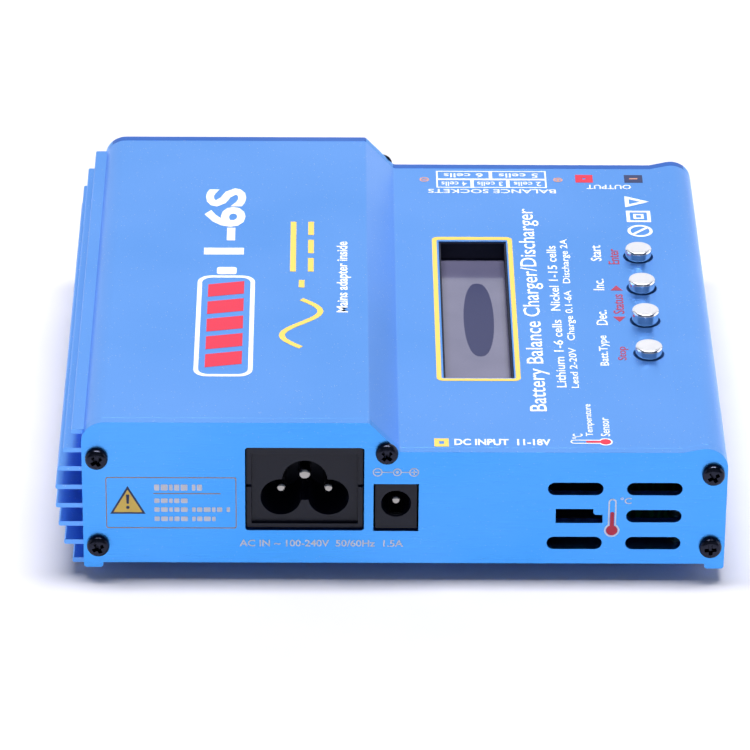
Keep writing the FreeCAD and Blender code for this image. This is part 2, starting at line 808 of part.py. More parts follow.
def pan_screw(x, y, z, axis, radius, length, turn):
    """A pan head screw with a cross recess. Its axis points out of its head, which sits at the place."""
    blank = cylinder("0", "0", "0", "screw_head_radius", "screw_head_height")
    head = rounded(blank, value("screw_head_soft"), lambda edge: edge.Closed and edge.BoundBox.ZMin > 0.1)
    shank = cylinder("0", "0", "0", radius, length, "-Z")
    recess_floor = "screw_head_height - screw_recess"
    arms = [
        box("0", "0", recess_floor, "screw_recess_length", "screw_recess_width", "screw_head_height"),
        box("0", "0", recess_floor, "screw_recess_width", "screw_recess_length", "screw_head_height"),
    ]
    return place(cut(fuse(head, shank), *arms), x, y, z, axis, turn)


def make_plate_screws():
    """The five screws of each end plate."""
    screws = []
    for y, axis in ((f"-{END}", "-Y"), (END, "+Y")):
        for corner, (x, z) in SCREWS.items():
            screws.append(pan_screw(x, y, z, axis, "screw_radius", "screw_length", SCREW_TURNS[corner]))
    node("plate_screws", group(*screws))


# --- mains inlet and jack --------------------------------------------------------------------------

INLET_X = f"({LEFT} + inlet_from_left)"
INLET_Z = f"({BOARD} + inlet_tall / 2)"
INLET_FACE = f"(-{END} + inlet_setback)"
JACK_X = f"({LEFT} + jack_from_left)"
JACK_Z = f"({BOARD} + jack_hole_rise)"
JACK_FACE = f"(-{END} + jack_setback)"
# The inlet's pins: x, z, lobe radius, pin radius and how far the tip lies behind the inlet's face.
LINE_PIN_Z = f"({BOARD} + inlet_pin_rise)"
INLET_PINS = {
    "live": (f"({INLET_X} - inlet_pin_spacing / 2)", LINE_PIN_Z, "inlet_lobe_radius",
             "inlet_pin_radius", "inlet_pin_setback"),
    "neutral": (f"({INLET_X} + inlet_pin_spacing / 2)", LINE_PIN_Z, "inlet_lobe_radius",
                "inlet_pin_radius", "inlet_pin_setback"),
    "earth": (INLET_X, f"({LINE_PIN_Z} + inlet_earth_rise)", "inlet_earth_lobe_radius",
              "inlet_earth_pin_radius", "inlet_earth_setback"),
}


def round_tip(pin, tip_y, radius):
    """The pin with the edge of its end at tip_y rounded."""
    reach = value(tip_y)

    def at_tip(edge):
        return edge.Closed and abs(edge.BoundBox.YMax - reach) < 1e-4

    return rounded(pin, value(radius) * 0.6, at_tip)


def make_inlet():
    """The appliance inlet: a recessed nose with three lobes, and a pin in each lobe."""
    block = box(INLET_X, INLET_FACE, BOARD, "inlet_width", "inlet_depth", "inlet_tall", "x")
    nose = box(INLET_X, INLET_FACE, f"{BOARD} + inlet_nose_rim", "inlet_width - 2 * inlet_nose_rim",
               "2 * inlet_nose_depth", "inlet_tall - inlet_nose_rim - inlet_nose_top")
    notches = [
        box(f"{INLET_X} {side} inlet_width / 2", INLET_FACE, f"{BOARD} + inlet_notch_height",
            "2 * (inlet_notch + inlet_nose_rim)", "2 * inlet_nose_depth", "inlet_notch", "xyz")
        for side in "+-"
    ]
    lobes = [
        cylinder(x, INLET_FACE, z, lobe_radius, "inlet_cavity", "+Y")
        for x, z, lobe_radius, _, _ in INLET_PINS.values()
    ]
    pin_holes = [
        cylinder(x, f"{INLET_FACE} + inlet_cavity - {PAST}", z, f"{radius} + thread_clearance",
                 f"inlet_depth - inlet_cavity + 2 * {PAST}", "+Y")
        for x, z, _, radius, _ in INLET_PINS.values()
    ]
    shell = cut(block, nose, *notches, *lobes, *pin_holes)
    middle_x, middle_z = value(INLET_X), value(INLET_Z)
    reach_x, reach_z = value("inlet_width / 2"), value("inlet_tall / 2")

    def outer_corner(edge):
        centre = edge.BoundBox.Center
        wide = abs(abs(centre.x - middle_x) - reach_x) < 1e-3
        tall = abs(abs(centre.z - middle_z) - reach_z) < 1e-3
        return wide and tall and edge.BoundBox.YLength > value("inlet_cavity")

    node("inlet_body", rounded(shell, value("inlet_corner_radius"), outer_corner))
    pins = []
    for x, z, _, radius, setback in INLET_PINS.values():
        tip = f"({INLET_FACE} + {setback})"
        pin = cylinder(x, tip, z, radius, f"inlet_depth - {setback} + inlet_pin_tail", "+Y")
        pins.append(round_tip(pin, tip, radius))
    node("inlet_pins", group(*pins))


def make_jack():
    """The direct current jack: a bore with a pin down its middle and a spring contact under it."""
    block = box(JACK_X, JACK_FACE, BOARD, "jack_width", "jack_depth", "jack_tall", "x")
    bore = cylinder(JACK_X, JACK_FACE, JACK_Z, "jack_hole_radius", "jack_bore_length", "+Y")
    pin_hole = cylinder(JACK_X, JACK_FACE, JACK_Z, "jack_tail_radius + thread_clearance", "jack_depth", "+Y")
    spring_low = f"({JACK_Z} - jack_hole_radius - jack_spring_sink)"
    slot_start = f"({JACK_FACE} + jack_spring_setback - jack_spring_clearance)"
    slot = box(JACK_X, slot_start, f"{spring_low} - jack_spring_clearance",
               "jack_spring_width + 2 * jack_spring_clearance",
               f"{JACK_FACE} + jack_bore_length - {slot_start}",
               "jack_spring_tall + 2 * jack_spring_clearance", "x")
    node("jack_body", cut(block, bore, pin_hole, slot))
    spring_start = f"({JACK_FACE} + jack_spring_setback)"
    node("jack_spring", box(JACK_X, spring_start, spring_low, "jack_spring_width",
                            f"{JACK_FACE} + jack_bore_length - jack_spring_clearance - {spring_start}",
                            "jack_spring_tall", "x"))
    tip = f"({JACK_FACE} + jack_pin_setback)"
    post = cylinder(JACK_X, tip, JACK_Z, "jack_pin_radius", "jack_bore_length - jack_pin_setback", "+Y")
    tail = cylinder(JACK_X, f"{JACK_FACE} + jack_bore_length - {PAST}", JACK_Z, "jack_tail_radius",
                    f"jack_depth + jack_tail - jack_bore_length + {PAST}", "+Y")
    node("jack_pin", round_tip(fuse(post, tail), tip, "jack_pin_radius"))


def make_sensor_socket():
    """The three way header behind the temperature sensor's port."""
    middle = f"({LEFT} + port_from_left + port_width / 2)"
    face = f"(-{INNER_END} + port_setback)"
    height = f"({UNDER} + port_height + port_tall / 2)"
    cavity_depth = "port_depth - port_back"
    shell = box(middle, face, BOARD, "port_width + 2 * balance_wall", "port_depth",
                f"2 * ({height} - {BOARD})", "x")
    cavity = box(middle, face, height, "port_width", cavity_depth, "port_tall", "xz")
    node("sensor_socket", cut(shell, cavity))
    node("sensor_socket_pins", group(*[
        box(f"{middle} + {n} * balance_pin_pitch", f"{face} + port_pin_setback", height, "pin_width",
            f"{cavity_depth} - port_pin_setback", "pin_width", "xz")
        for n in (-1, 0, 1)
    ]))


# --- output end ------------------------------------------------------------------------------------

OUTPUT_X = {
    "red": f"({LEFT} + output_red_from_left)",
    "black": f"({LEFT} + output_red_from_left + output_spacing)",
}
BALANCE_ROWS = {"balance_high_height": ("2s", "3s", "4s"), "balance_low_height": ("5s", "6s")}


def balance_width(cells):
    return f"({BALANCE_CELLS[cells] - 1} * balance_pin_pitch + 2 * balance_end)"


def balance_place(cells):
    """Middle x, middle z and width of a balance socket: three above, and the two widest below them."""
    height, row = [(height, row) for height, row in BALANCE_ROWS.items() if cells in row][0]
    west = f"{LEFT} + balance_from_left"
    for name in row[: row.index(cells)]:
        west = f"{west} + {balance_width(name)} + balance_space"
    width = balance_width(cells)
    return f"({west} + {width} / 2)", f"({UNDER} + {height})", width


def make_balance_sockets():
    """The five balance sockets, the pins that run through them and the board that carries them."""
    all_pins = []
    back = f"({BALANCE_BOARD} + balance_back)"
    for cells, count in BALANCE_CELLS.items():
        x, z, width = balance_place(cells)
        shell = box(x, BALANCE_BOARD, z, width, "balance_depth", "balance_tall", "xz")
        cavity = box(x, back, z, f"{width} - 2 * balance_wall", "balance_depth",
                     "balance_tall - 2 * balance_wall", "xz")
        slots = [
            box(f"{x} {side} ({width} / 2 - balance_key_inset)", f"{BALANCE_FACE} - balance_key_length",
                f"{z} + balance_tall / 2 - balance_key_depth", "balance_key_width",
                f"balance_key_length + {PAST}", "2 * balance_key_depth", "x")
            for side in "+-"
        ]
        node(f"balance_socket_{cells}", cut(shell, cavity, *slots))
        for n in range(count):
            pin_x = f"{x} + ({n} - {(count - 1) / 2}) * balance_pin_pitch"
            pin_length = "balance_depth - balance_back - balance_pin_setback"
            all_pins.append(box(pin_x, back, z, "pin_width", pin_length, "pin_width", "xz"))
    node("balance_socket_pins", group(*all_pins))
    first_x, _, first_width = balance_place("5s")
    last_x, _, last_width = balance_place("6s")
    west = f"({first_x} - {first_width} / 2 - balance_board_margin)"
    east = f"({last_x} + {last_width} / 2 + balance_board_margin)"
    low = f"({BOARD} + balance_board_lift)"
    high = f"({UNDER} + balance_high_height + balance_tall / 2 + balance_board_margin)"
    node("balance_board", box(west, f"{BALANCE_BOARD} - board_thickness", low, f"{east} - {west}",
                              "board_thickness", f"{high} - {low}", ""))


def make_output_sockets():
    """The two output sockets: an insulating barrel, a contact sleeve in it and a nut behind the plate."""
    sleeves, nuts = [], []
    inner, collar = "(output_sleeve_radius + output_fit)", "(output_barrel_radius + output_collar_rim)"
    inner_end = f"({END} - output_barrel_length)"
    sleeve_face = f"({END} + output_collar - output_recess)"
    nut_start = f"({INNER_END} - output_nut_thickness)"
    for colour, x in OUTPUT_X.items():
        body = new_body(f"output_socket_{colour}")
        revolve(body, [
            (inner, "-output_barrel_length"), ("output_barrel_radius", "-output_barrel_length"),
            ("output_barrel_radius", "0"), (collar, "0"), (collar, "output_collar - output_chamfer"),
            (f"{collar} - output_chamfer", "output_collar"), (inner, "output_collar"),
        ])
        place(body, x, END, OUTPUT_Z, "+Y")
        sleeve = cylinder(x, f"{inner_end} - output_tail", OUTPUT_Z, "output_sleeve_radius",
                          f"{sleeve_face} - {inner_end} + output_tail", "+Y")
        bore = cylinder(x, f"{sleeve_face} - output_bore_length", OUTPUT_Z, "output_bore_radius",
                        f"output_bore_length + {PAST}", "+Y")
        sleeves.append(cut(sleeve, bore))
        hexagon = bind(doc.addObject("Part::Prism", "Prism"), Height="output_nut_thickness",
                       Circumradius="(output_barrel_radius + output_nut_rim) / cos(30)")
        hexagon.Polygon = 6
        place(hexagon, x, nut_start, OUTPUT_Z, "+Y")
        hole = cylinder(x, f"{nut_start} - {PAST}", OUTPUT_Z, "output_barrel_radius + output_fit",
                        f"output_nut_thickness + 2 * {PAST}", "+Y")
        nuts.append(cut(hexagon, hole))
    node("output_sleeves", group(*sleeves))
    node("output_nuts", group(*nuts))


# --- display and keys ------------------------------------------------------------------------------


def window_box(z, width, length, tall):
    """A box centred under the display window. Width and length are added to the window's own."""
    return box(WINDOW_X, "window_y", z, f"window_width + {width}", f"window_length + {length}", tall)


def bezel_box(z, less, tall):
    """A box centred under the display window, smaller than the bezel by less."""
    return box(WINDOW_X, "window_y", z, f"bezel_width - {less}", f"bezel_length - {less}", tall)


def make_display():
    """From below: board, backlight, glass, the bezel over them, and a gasket up to the case's top."""
    node("display_board", box(WINDOW_X, "window_y", f"{DISPLAY_BOARD} - board_thickness",
                              "display_board_width", "display_board_length", "board_thickness"))
    frame = bezel_box(DISPLAY_BOARD, "0", "bezel_tall")
    hollow = bezel_box(DISPLAY_BOARD, "2 * bezel_sheet", "bezel_tall - bezel_sheet")
    opening = window_box(DISPLAY_BOARD, "bezel_lip", "bezel_lip", f"bezel_tall + {PAST}")
    node("display_bezel", cut(frame, hollow, opening))
    glass_low = f"({DISPLAY_TOP} - bezel_sheet - display_clearance - glass_thickness)"
    margin = "2 * (bezel_sheet + glass_margin)"
    node("display_glass", bezel_box(glass_low, margin, "glass_thickness"))
    node("display_backlight", bezel_box(f"{DISPLAY_BOARD} + display_clearance", margin,
                                        f"{glass_low} - {DISPLAY_BOARD} - 2 * display_clearance"))
    gasket = window_box(DISPLAY_TOP, "2 * gasket_rim", "2 * gasket_rim", "gasket_thickness")
    lining = window_box(DISPLAY_TOP, "-2 * display_clearance", "-2 * display_clearance",
                        f"{LOW} - lining_setback - {DISPLAY_TOP}")
    inner = "-2 * (display_clearance + lining_thickness)"
    gasket_hole = window_box(f"{DISPLAY_TOP} - {PAST}", inner, inner,
                             f"gasket_thickness + wall + 3 * {PAST}")
    node("display_gasket", cut(fuse(gasket, lining), gasket_hole))
    row_x = f"({WINDOW_X} - display_board_width / 2 + header_inset)"
    gap = f"({DISPLAY_BOARD} - board_thickness - {BOARD})"
    block = box(row_x, "header_y", BOARD, "header_width", f"{HEADER_PINS} * header_pin_pitch",
                f"{gap} * {HEADER_BLOCK_SHARE}")
    block_top = f"({BOARD} + {gap} * {HEADER_BLOCK_SHARE})"
    pin_length = f"{gap} * (1 - {HEADER_BLOCK_SHARE})"
    pins = [
        box(row_x, f"header_y + {n - (HEADER_PINS - 1) / 2} * header_pin_pitch", block_top, "pin_width",
            "pin_width", pin_length)
        for n in range(HEADER_PINS)
    ]
    node("display_header", fuse(block, *pins))


def make_keys():
    """Four keys: a cap in its hole in the case, the switch stem under it, and the switch it presses."""
    bases = []
    socket_radius = "(switch_stem_radius + thread_clearance)"
    flange_top = f"({LOW} - wall - key_flange_gap)"
    flange_low = f"({flange_top} - key_flange)"
    socket_top = f"({flange_low} + key_cap_socket)"
    stem_low = f"({KEY_BOARD} + switch_tall - switch_stem_depth)"
    for n, (name, rise) in enumerate(KEYS.items()):
        y = f"(key_first_y + {n} * key_pitch)"
        top = f"({LOW} + {rise})"
        crown = f"({top} - key_crown)"
        cap = new_body(f"key_cap_{name}")
        revolve(cap, [
            (socket_radius, flange_low), ("key_flange_radius", flange_low),
            ("key_flange_radius", flange_top), ("key_cap_radius", flange_top), ("key_cap_radius", crown),
            ("key_crown_radius", f"{crown} + key_groove"), ("key_crown_radius", f"{top} - key_edge"),
            ("key_crown_radius - key_edge", top), ("0", top), ("0", socket_top),
            (socket_radius, socket_top),
        ])
        place(cap, KEY_X, y, "0")
        node(f"key_stem_{name}", cylinder(KEY_X, y, stem_low, "switch_stem_radius",
                                          f"{socket_top} - thread_clearance - {stem_low}"))
        base = box(KEY_X, y, KEY_BOARD, "switch_size", "switch_size", "switch_tall")
        well = cylinder(KEY_X, y, f"{stem_low} - key_travel - key_flange_gap",
                        "switch_stem_radius + switch_stem_clearance", "switch_tall")
        bases.append(cut(base, well))
    node("key_switches", group(*bases))
    middle_y = f"(key_first_y + {(len(KEYS) - 1) / 2} * key_pitch)"
    node("key_board", box(KEY_X, middle_y, f"{KEY_BOARD} - board_thickness", "key_board_width",
                          "key_board_length", "board_thickness"))
    reach = "(key_board_length / 2 - key_spacer_inset)"
    node("key_spacers", group(*[
        cylinder(f"{KEY_X} + key_spacer_offset", f"{middle_y} {side} {reach}", BOARD, "key_spacer_radius",
                 f"{KEY_BOARD} - board_thickness - {BOARD}")
        for side in "+-"
    ]))


# --- boards and their parts ------------------------------------------------------------------------

AC_WEST, AC_EAST = f"({LEFT} + wall + board_gap)", f"({DIVIDE} - board_gap / 2)"
CHARGER_WEST, CHARGER_EAST = f"({DIVIDE} + board_gap / 2)", f"({RIGHT} - wall - 2 * board_gap)"
BOARD_SOUTH, BOARD_NORTH = f"(-{INNER_END} + board_gap)", f"({INNER_END} - board_gap)"
NEAR_SOUTH, NEAR_NORTH = f"({BOARD_SOUTH} + standoff_inset)", f"({BOARD_NORTH} - standoff_inset)"
MAINS_STANDOFFS = [
    (f"({AC_WEST} + standoff_inset)", NEAR_SOUTH),
    (f"({AC_WEST} + standoff_inset)", NEAR_NORTH),
    (f"({AC_EAST} - standoff_inset)", f"({BOARD_SOUTH} + mains_standoff_from_south)"),
    (f"({AC_EAST} - standoff_inset)", NEAR_NORTH),
]
CHARGER_STANDOFFS = [
    (f"({CHARGER_WEST} + standoff_inset)", f"({BOARD_SOUTH} + charger_standoff_from_south)"),
    (f"({CHARGER_WEST} + standoff_inset)", f"({BOARD_NORTH} - charger_standoff_from_north)"),
    (f"({CHARGER_EAST} - standoff_inset)", NEAR_SOUTH),
    (f"({CHARGER_EAST} - standoff_inset)", f"({BOARD_NORTH} - charger_standoff_from_north)"),
]


def board_blank(west, east, north, standoffs, *gaps):
    """A board from the mains end to north, with its screw holes and any gaps cut out of it."""
    under = f"{FLOOR} + standoff_height"
    blank = box(west, BOARD_SOUTH, under, f"{east} - {west}", f"{north} - {BOARD_SOUTH}",
                "board_thickness", "")
    holes = [
        cylinder(x, y, f"{under} - {PAST}", "board_hole_radius", f"board_thickness + 2 * {PAST}")
        for x, y in standoffs
    ]
    return cut(blank, *holes, *gaps)


def make_boards():
    node("mains_board", board_blank(AC_WEST, AC_EAST, BOARD_NORTH, MAINS_STANDOFFS))
    fan_gap = box(FAN_X, "fan_y", FLOOR, "fan_size + 2 * board_gap", "fan_size + 2 * board_gap", BOARD)
    charger_end = f"({BOARD_NORTH} - charger_board_from_north)"
    node("charger_board", board_blank(CHARGER_WEST, CHARGER_EAST, charger_end, CHARGER_STANDOFFS, fan_gap))
    posts, screws = [], []
    for x, y in MAINS_STANDOFFS + CHARGER_STANDOFFS:
        post = bind(doc.addObject("Part::Prism", "Prism"), Circumradius="standoff_radius",
                    Height="standoff_height")
        post.Polygon = 6
        place(post, x, y, FLOOR)
        thread = cylinder(x, y, f"{FLOOR} + standoff_floor", "board_screw_radius + thread_clearance",
                          "standoff_height")
        posts.append(cut(post, thread))
        screws.append(pan_screw(x, y, BOARD, "+Z", "board_screw_radius", "board_screw_length", 20))
    node("board_standoffs", group(*posts))
    node("board_screws", group(*screws))


def wound_ring(x, y, name):
    """A toroidal choke lying on its board, its edges rounded by the winding."""
    radius, hole, tall = f"{name}_radius", f"{name}_hole_radius", f"{name}_tall"
    ring = cut(cylinder(x, y, BOARD, radius, tall),
               cylinder(x, y, f"{BOARD} - {PAST}", hole, f"{tall} + 2 * {PAST}"))
    return rounded(ring, value(tall) / 4, lambda edge: edge.Closed)


def make_mains_parts():
    """The mains supply's parts, placed along the board from the inlet to the output end."""
    node("mains_fuse", cylinder(f"{AC_WEST} + fuse_from_west", f"{BOARD_SOUTH} + fuse_from_south",
                                f"{BOARD} + fuse_radius", "fuse_radius", "fuse_length", "+X"))
    node("suppression_capacitor", box(f"{AC_WEST} + suppressor_from_west",
                                      f"{BOARD_SOUTH} + suppressor_from_south", BOARD,
                                      "suppressor_width", "suppressor_length", "suppressor_tall"))
    node("filter_choke", wound_ring(f"{AC_WEST} + filter_choke_from_west",
                                    f"{BOARD_SOUTH} + filter_choke_from_south", "filter_choke"))
    node("bulk_capacitor", cylinder(f"{AC_EAST} - bulk_capacitor_from_east",
                                    f"{BOARD_SOUTH} + bulk_capacitor_from_south", BOARD,
                                    "bulk_capacitor_radius", "bulk_capacitor_tall"))
    node("output_capacitors", group(*[
        cylinder(f"{AC_EAST} - {n} * output_capacitor_pitch", f"{BOARD_NORTH} - output_capacitor_from_north",
                 BOARD, "output_capacitor_radius", "output_capacitor_tall")
        for n in (1, 2, 3)
    ]))


def make_transformer():
    """The core has a middle leg and two outer ones, and the winding sits round the middle leg."""
    x, y = f"({AC_EAST} - core_from_east)", f"({BOARD_SOUTH} + core_from_south)"
    window_width = "((core_width - core_middle_leg) / 2 - core_leg)"
    window_tall = "(core_tall - 2 * core_leg)"
    windows = [
        box(f"{x} {side} (core_middle_leg + {window_width}) / 2", y, f"{BOARD} + core_leg", window_width,
            f"core_length + {PAST}", window_tall)
        for side in "+-"
    ]
    node("transformer_core", cut(box(x, y, BOARD, "core_width", "core_length", "core_tall"), *windows))
    coil = box(x, y, f"{BOARD} + core_leg + winding_gap", "core_width - 2 * (core_leg + winding_gap)",
               "winding_length", f"{window_tall} - 2 * winding_gap")
    tunnel = box(x, y, f"{BOARD} + core_leg", "core_middle_leg + 2 * winding_gap",
                 "core_length + 2 * winding_gap", window_tall)
    node("transformer_winding", cut(coil, tunnel))


def make_transistors():
    """The power transistors, flat against the left wall, which cools them."""
    transistors = []
    face = f"({LEFT} + wall + transistor_gap)"
    for n in range(4):
        y = f"(transistor_first_y + {n} * transistor_pitch)"
        block = box(face, y, f"{BOARD} + transistor_lift", "transistor_thickness", "transistor_width",
                    "transistor_tall", "y")
        legs = [
            box(f"{face} + transistor_thickness / 2", f"{y} + {k} * leg_pitch", BOARD, "leg_thickness",
                "leg_width", f"transistor_lift + {PAST}", "y")
            for k in (-1, 0, 1)
        ]
        transistors.append(fuse(block, *legs))
    node("power_transistors", group(*transistors))


def make_charger_parts():
    """The charger board's parts, all lower than the display that hangs over them."""
    node("microcontroller", box(f"{CHARGER_WEST} + chip_from_west", f"{BOARD_SOUTH} + chip_from_south",
                                BOARD, "chip_width", "chip_width", "chip_tall"))
    node("charge_chokes", group(*[
        wound_ring(f"{CHARGER_WEST} + charge_choke_from_west + {n} * charge_choke_pitch",
                   f"{BOARD_NORTH} - charge_choke_from_north", "charge_choke")
        for n in range(2)
    ]))
    node("buzzer", cylinder(f"{CHARGER_EAST} - buzzer_from_east", f"{BOARD_SOUTH} + buzzer_from_south",
                            BOARD, "buzzer_radius", "buzzer_tall"))


# --- fan -------------------------------------------------------------------------------------------


def make_fan_frame():
    frame = box(FAN_X, "fan_y", FLOOR, "fan_size", "fan_size", "fan_tall")
    through = f"fan_tall + 2 * {PAST}"
    holes = [cylinder(x, y, f"{FLOOR} - {PAST}", "fan_hole_radius", through) for x, y in fan_holes()]
    throat = cylinder(FAN_X, "fan_y", f"{FLOOR} - {PAST}", "fan_bore_radius", through)
    base = cylinder(FAN_X, "fan_y", FLOOR, "fan_hub_radius", "fan_base_thickness")
    span = f"2 * fan_bore_radius + {PAST}"
    struts = [
        box(FAN_X, "fan_y", FLOOR, span, "fan_strut_width", "fan_base_thickness"),
        box(FAN_X, "fan_y", FLOOR, "fan_strut_width", span, "fan_base_thickness"),
    ]
    tube = cylinder(FAN_X, "fan_y", FLOOR, "fan_tube_radius", "fan_tube_height")
    bearing = cylinder(FAN_X, "fan_y", f"{FLOOR} + fan_bearing_floor",
                       "fan_shaft_radius + fan_shaft_clearance", "fan_tall")
    node("fan_frame", cut(fuse(cut(frame, throat, *holes), base, *struts, tube), bearing))


def make_fan_rotor():
    """The rotor: a shaft, a hub cup and leaning blades. Its own origin is on the case's floor."""
    rotor = new_body("fan_rotor")
    low, top = "(fan_base_thickness + fan_running_gap)", "(fan_tall - fan_running_gap)"
    cup_top, cup_radius = f"{top} - fan_hub_wall", "fan_hub_radius - fan_hub_wall"
    revolve(rotor, [
        ("0", "fan_shaft_floor"), ("fan_shaft_radius", "fan_shaft_floor"), ("fan_shaft_radius", cup_top),
        (cup_radius, cup_top), (cup_radius, low), ("fan_hub_radius", low), ("fan_hub_radius", top),
        ("0", top),
    ])
    root = "sqrt(fan_hub_radius ^ 2 - fan_blade_lean ^ 2)"
    blade = new_sketch(rotor, "XZ_Plane", root)
    blade_low, blade_top = f"{low} + fan_blade_setback", f"{top} - fan_blade_setback"
    draw_outline(blade, [
        ("-fan_blade_lean", blade_low), ("-fan_blade_lean + fan_blade_thickness", blade_low),
        ("fan_blade_lean", blade_top), ("fan_blade_lean - fan_blade_thickness", blade_top),
    ])
    first = pad(rotor, blade, f"sqrt(fan_tip_radius ^ 2 - fan_blade_lean ^ 2) - {root}")
    ring = rotor.newObject("PartDesign::PolarPattern", "PolarPattern")
    ring.Originals = [first]
    ring.Axis = ([feature for feature in rotor.Origin.OriginFeatures if feature.Role == "Z_Axis"][0], [""])
    ring.Angle = 360
    ring.Occurrences = BLADE_COUNT
    rotor.Tip = ring
    place(rotor, FAN_X, "fan_y", FLOOR)


def make_fan():
    make_fan_frame()
    make_fan_rotor()
    length = "fan_tall + wall - board_gap / 2"
    node("fan_screws", group(*[
        pan_screw(x, y, f"{FLOOR} + fan_tall", "+Z", "board_screw_radius", length, 15)
        for x, y in fan_holes()
    ]))


# --- leads -----------------------------------------------------------------------------------------


def bent_lead(start, end, rise, bend, radius):
    """A lead that rises from one board, crosses over with two round bends, and drops to the other."""
    across = (end - start).normalize() * bend
    sink = Vector(0, 0, bend)
    corner_a, corner_b = start + Vector(0, 0, rise), end + Vector(0, 0, rise)
    bow = 1 - math.sqrt(0.5)
    path = Part.Wire([
        Part.LineSegment(start, corner_a - sink).toShape(),
        Part.Arc(corner_a - sink, corner_a + (across - sink) * bow, corner_a + across).toShape(),
        Part.LineSegment(corner_a + across, corner_b - across).toShape(),
        Part.Arc(corner_b - across, corner_b - (across + sink) * bow, corner_b - sink).toShape(),
        Part.LineSegment(corner_b - sink, end).toShape(),
    ])
    section = Part.Wire(Part.makeCircle(radius, start, Vector(0, 0, 1)))
    return path.makePipeShell([section], True, True)


def make_leads():
    """The two leads that carry the supply's output to the charger board."""
    board, north = value(BOARD), value(BOARD_NORTH) - value("lead_from_north")
    rise, bend, radius = value("lead_rise"), value("lead_bend"), value("lead_radius")
    west, east = value(AC_EAST) - value("lead_inset"), value(CHARGER_WEST) + value("lead_inset")
    item = doc.addObject("Part::Feature", "Leads")
    item.Shape = Part.makeCompound([
        bent_lead(Vector(west, y, board), Vector(east, y, board), rise, bend, radius)
        for y in (north, north - value("lead_pitch"))
    ])
    node("supply_leads", item)


# --- build and write -------------------------------------------------------------------------------


def write_nodes():
    doc.recompute()
    failed = [item.Name for item in doc.Objects if {"Invalid", "Error"} & set(item.State)]
    if failed:
        raise SystemExit(f"failed objects: {failed}")
    for name, item in nodes.items():
        shape = item.Shape
        if shape.isNull() or not shape.isValid() or not shape.Solids:
            raise SystemExit(f"{name} has no valid shape")
    os.makedirs("parts", exist_ok=True)
    for name, item in nodes.items():
        item.Shape.exportStep(f"parts/{name}.step")
    print(f"{len(nodes)} nodes written")


make_top_cover()
make_bottom_tray()
make_rubber_feet()
make_front_plate()
make_rear_plate()
make_plate_screws()
make_inlet()
make_jack()
make_sensor_socket()
make_balance_sockets()
make_output_sockets()
make_display()
make_keys()
make_boards()
make_mains_parts()
make_transformer()
make_transistors()
make_charger_parts()
make_fan()
make_leads()
write_nodes()
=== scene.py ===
"""A balance battery charger's looks: its finished pieces, the prints on its case and a plain studio."""
import json
import math

import bmesh
import bpy
from mathutils import Matrix, Vector


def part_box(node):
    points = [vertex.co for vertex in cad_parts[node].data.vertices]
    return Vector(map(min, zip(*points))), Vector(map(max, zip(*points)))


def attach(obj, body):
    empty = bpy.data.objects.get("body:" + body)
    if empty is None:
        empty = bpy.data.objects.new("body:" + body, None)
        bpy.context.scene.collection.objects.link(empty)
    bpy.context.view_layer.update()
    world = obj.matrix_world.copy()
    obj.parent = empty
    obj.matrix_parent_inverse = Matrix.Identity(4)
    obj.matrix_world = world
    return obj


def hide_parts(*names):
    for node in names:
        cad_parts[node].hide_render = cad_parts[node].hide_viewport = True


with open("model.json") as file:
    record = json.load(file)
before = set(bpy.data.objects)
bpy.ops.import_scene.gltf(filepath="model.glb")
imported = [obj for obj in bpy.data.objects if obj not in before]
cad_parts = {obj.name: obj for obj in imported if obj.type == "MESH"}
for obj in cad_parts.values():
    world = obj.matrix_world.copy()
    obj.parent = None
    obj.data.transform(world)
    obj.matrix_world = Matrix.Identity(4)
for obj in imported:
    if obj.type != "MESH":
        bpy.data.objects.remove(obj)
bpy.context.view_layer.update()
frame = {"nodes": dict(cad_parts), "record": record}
nodes = frame["nodes"]

# --- places ---------------------------------------------------------------------------------------------

MM = 0.001
RAIL_HEIGHT = 1.2 * MM  # of the rails along the case's lower corners, below its underside
SIDES_STEP = 7.1 * MM  # from the high side's top down to the low side's
PLATE_LOW, PLATE_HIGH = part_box("front_plate")
REAR_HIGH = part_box("rear_plate")[1]
GLASS_LOW, GLASS_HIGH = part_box("display_glass")
LEFT, FRONT, HIGH_TOP = PLATE_LOW.x, PLATE_LOW.y, PLATE_HIGH.z
UNDERSIDE = PLATE_LOW.z + RAIL_HEIGHT
LOW_TOP = HIGH_TOP - SIDES_STEP
KEYS = ("stop", "dec", "inc", "start")


# --- materials ------------------------------------------------------------------------------------------

BLACK, WHITE = (0, 0, 0), (1, 1, 1)
NOISE_LOW, NOISE_HIGH = 0.3, 0.7  # nearly all values of a noise texture lie between these
MIX_A, MIX_B, MIX_RESULT = 6, 7, 2  # the colour sockets of a mix node


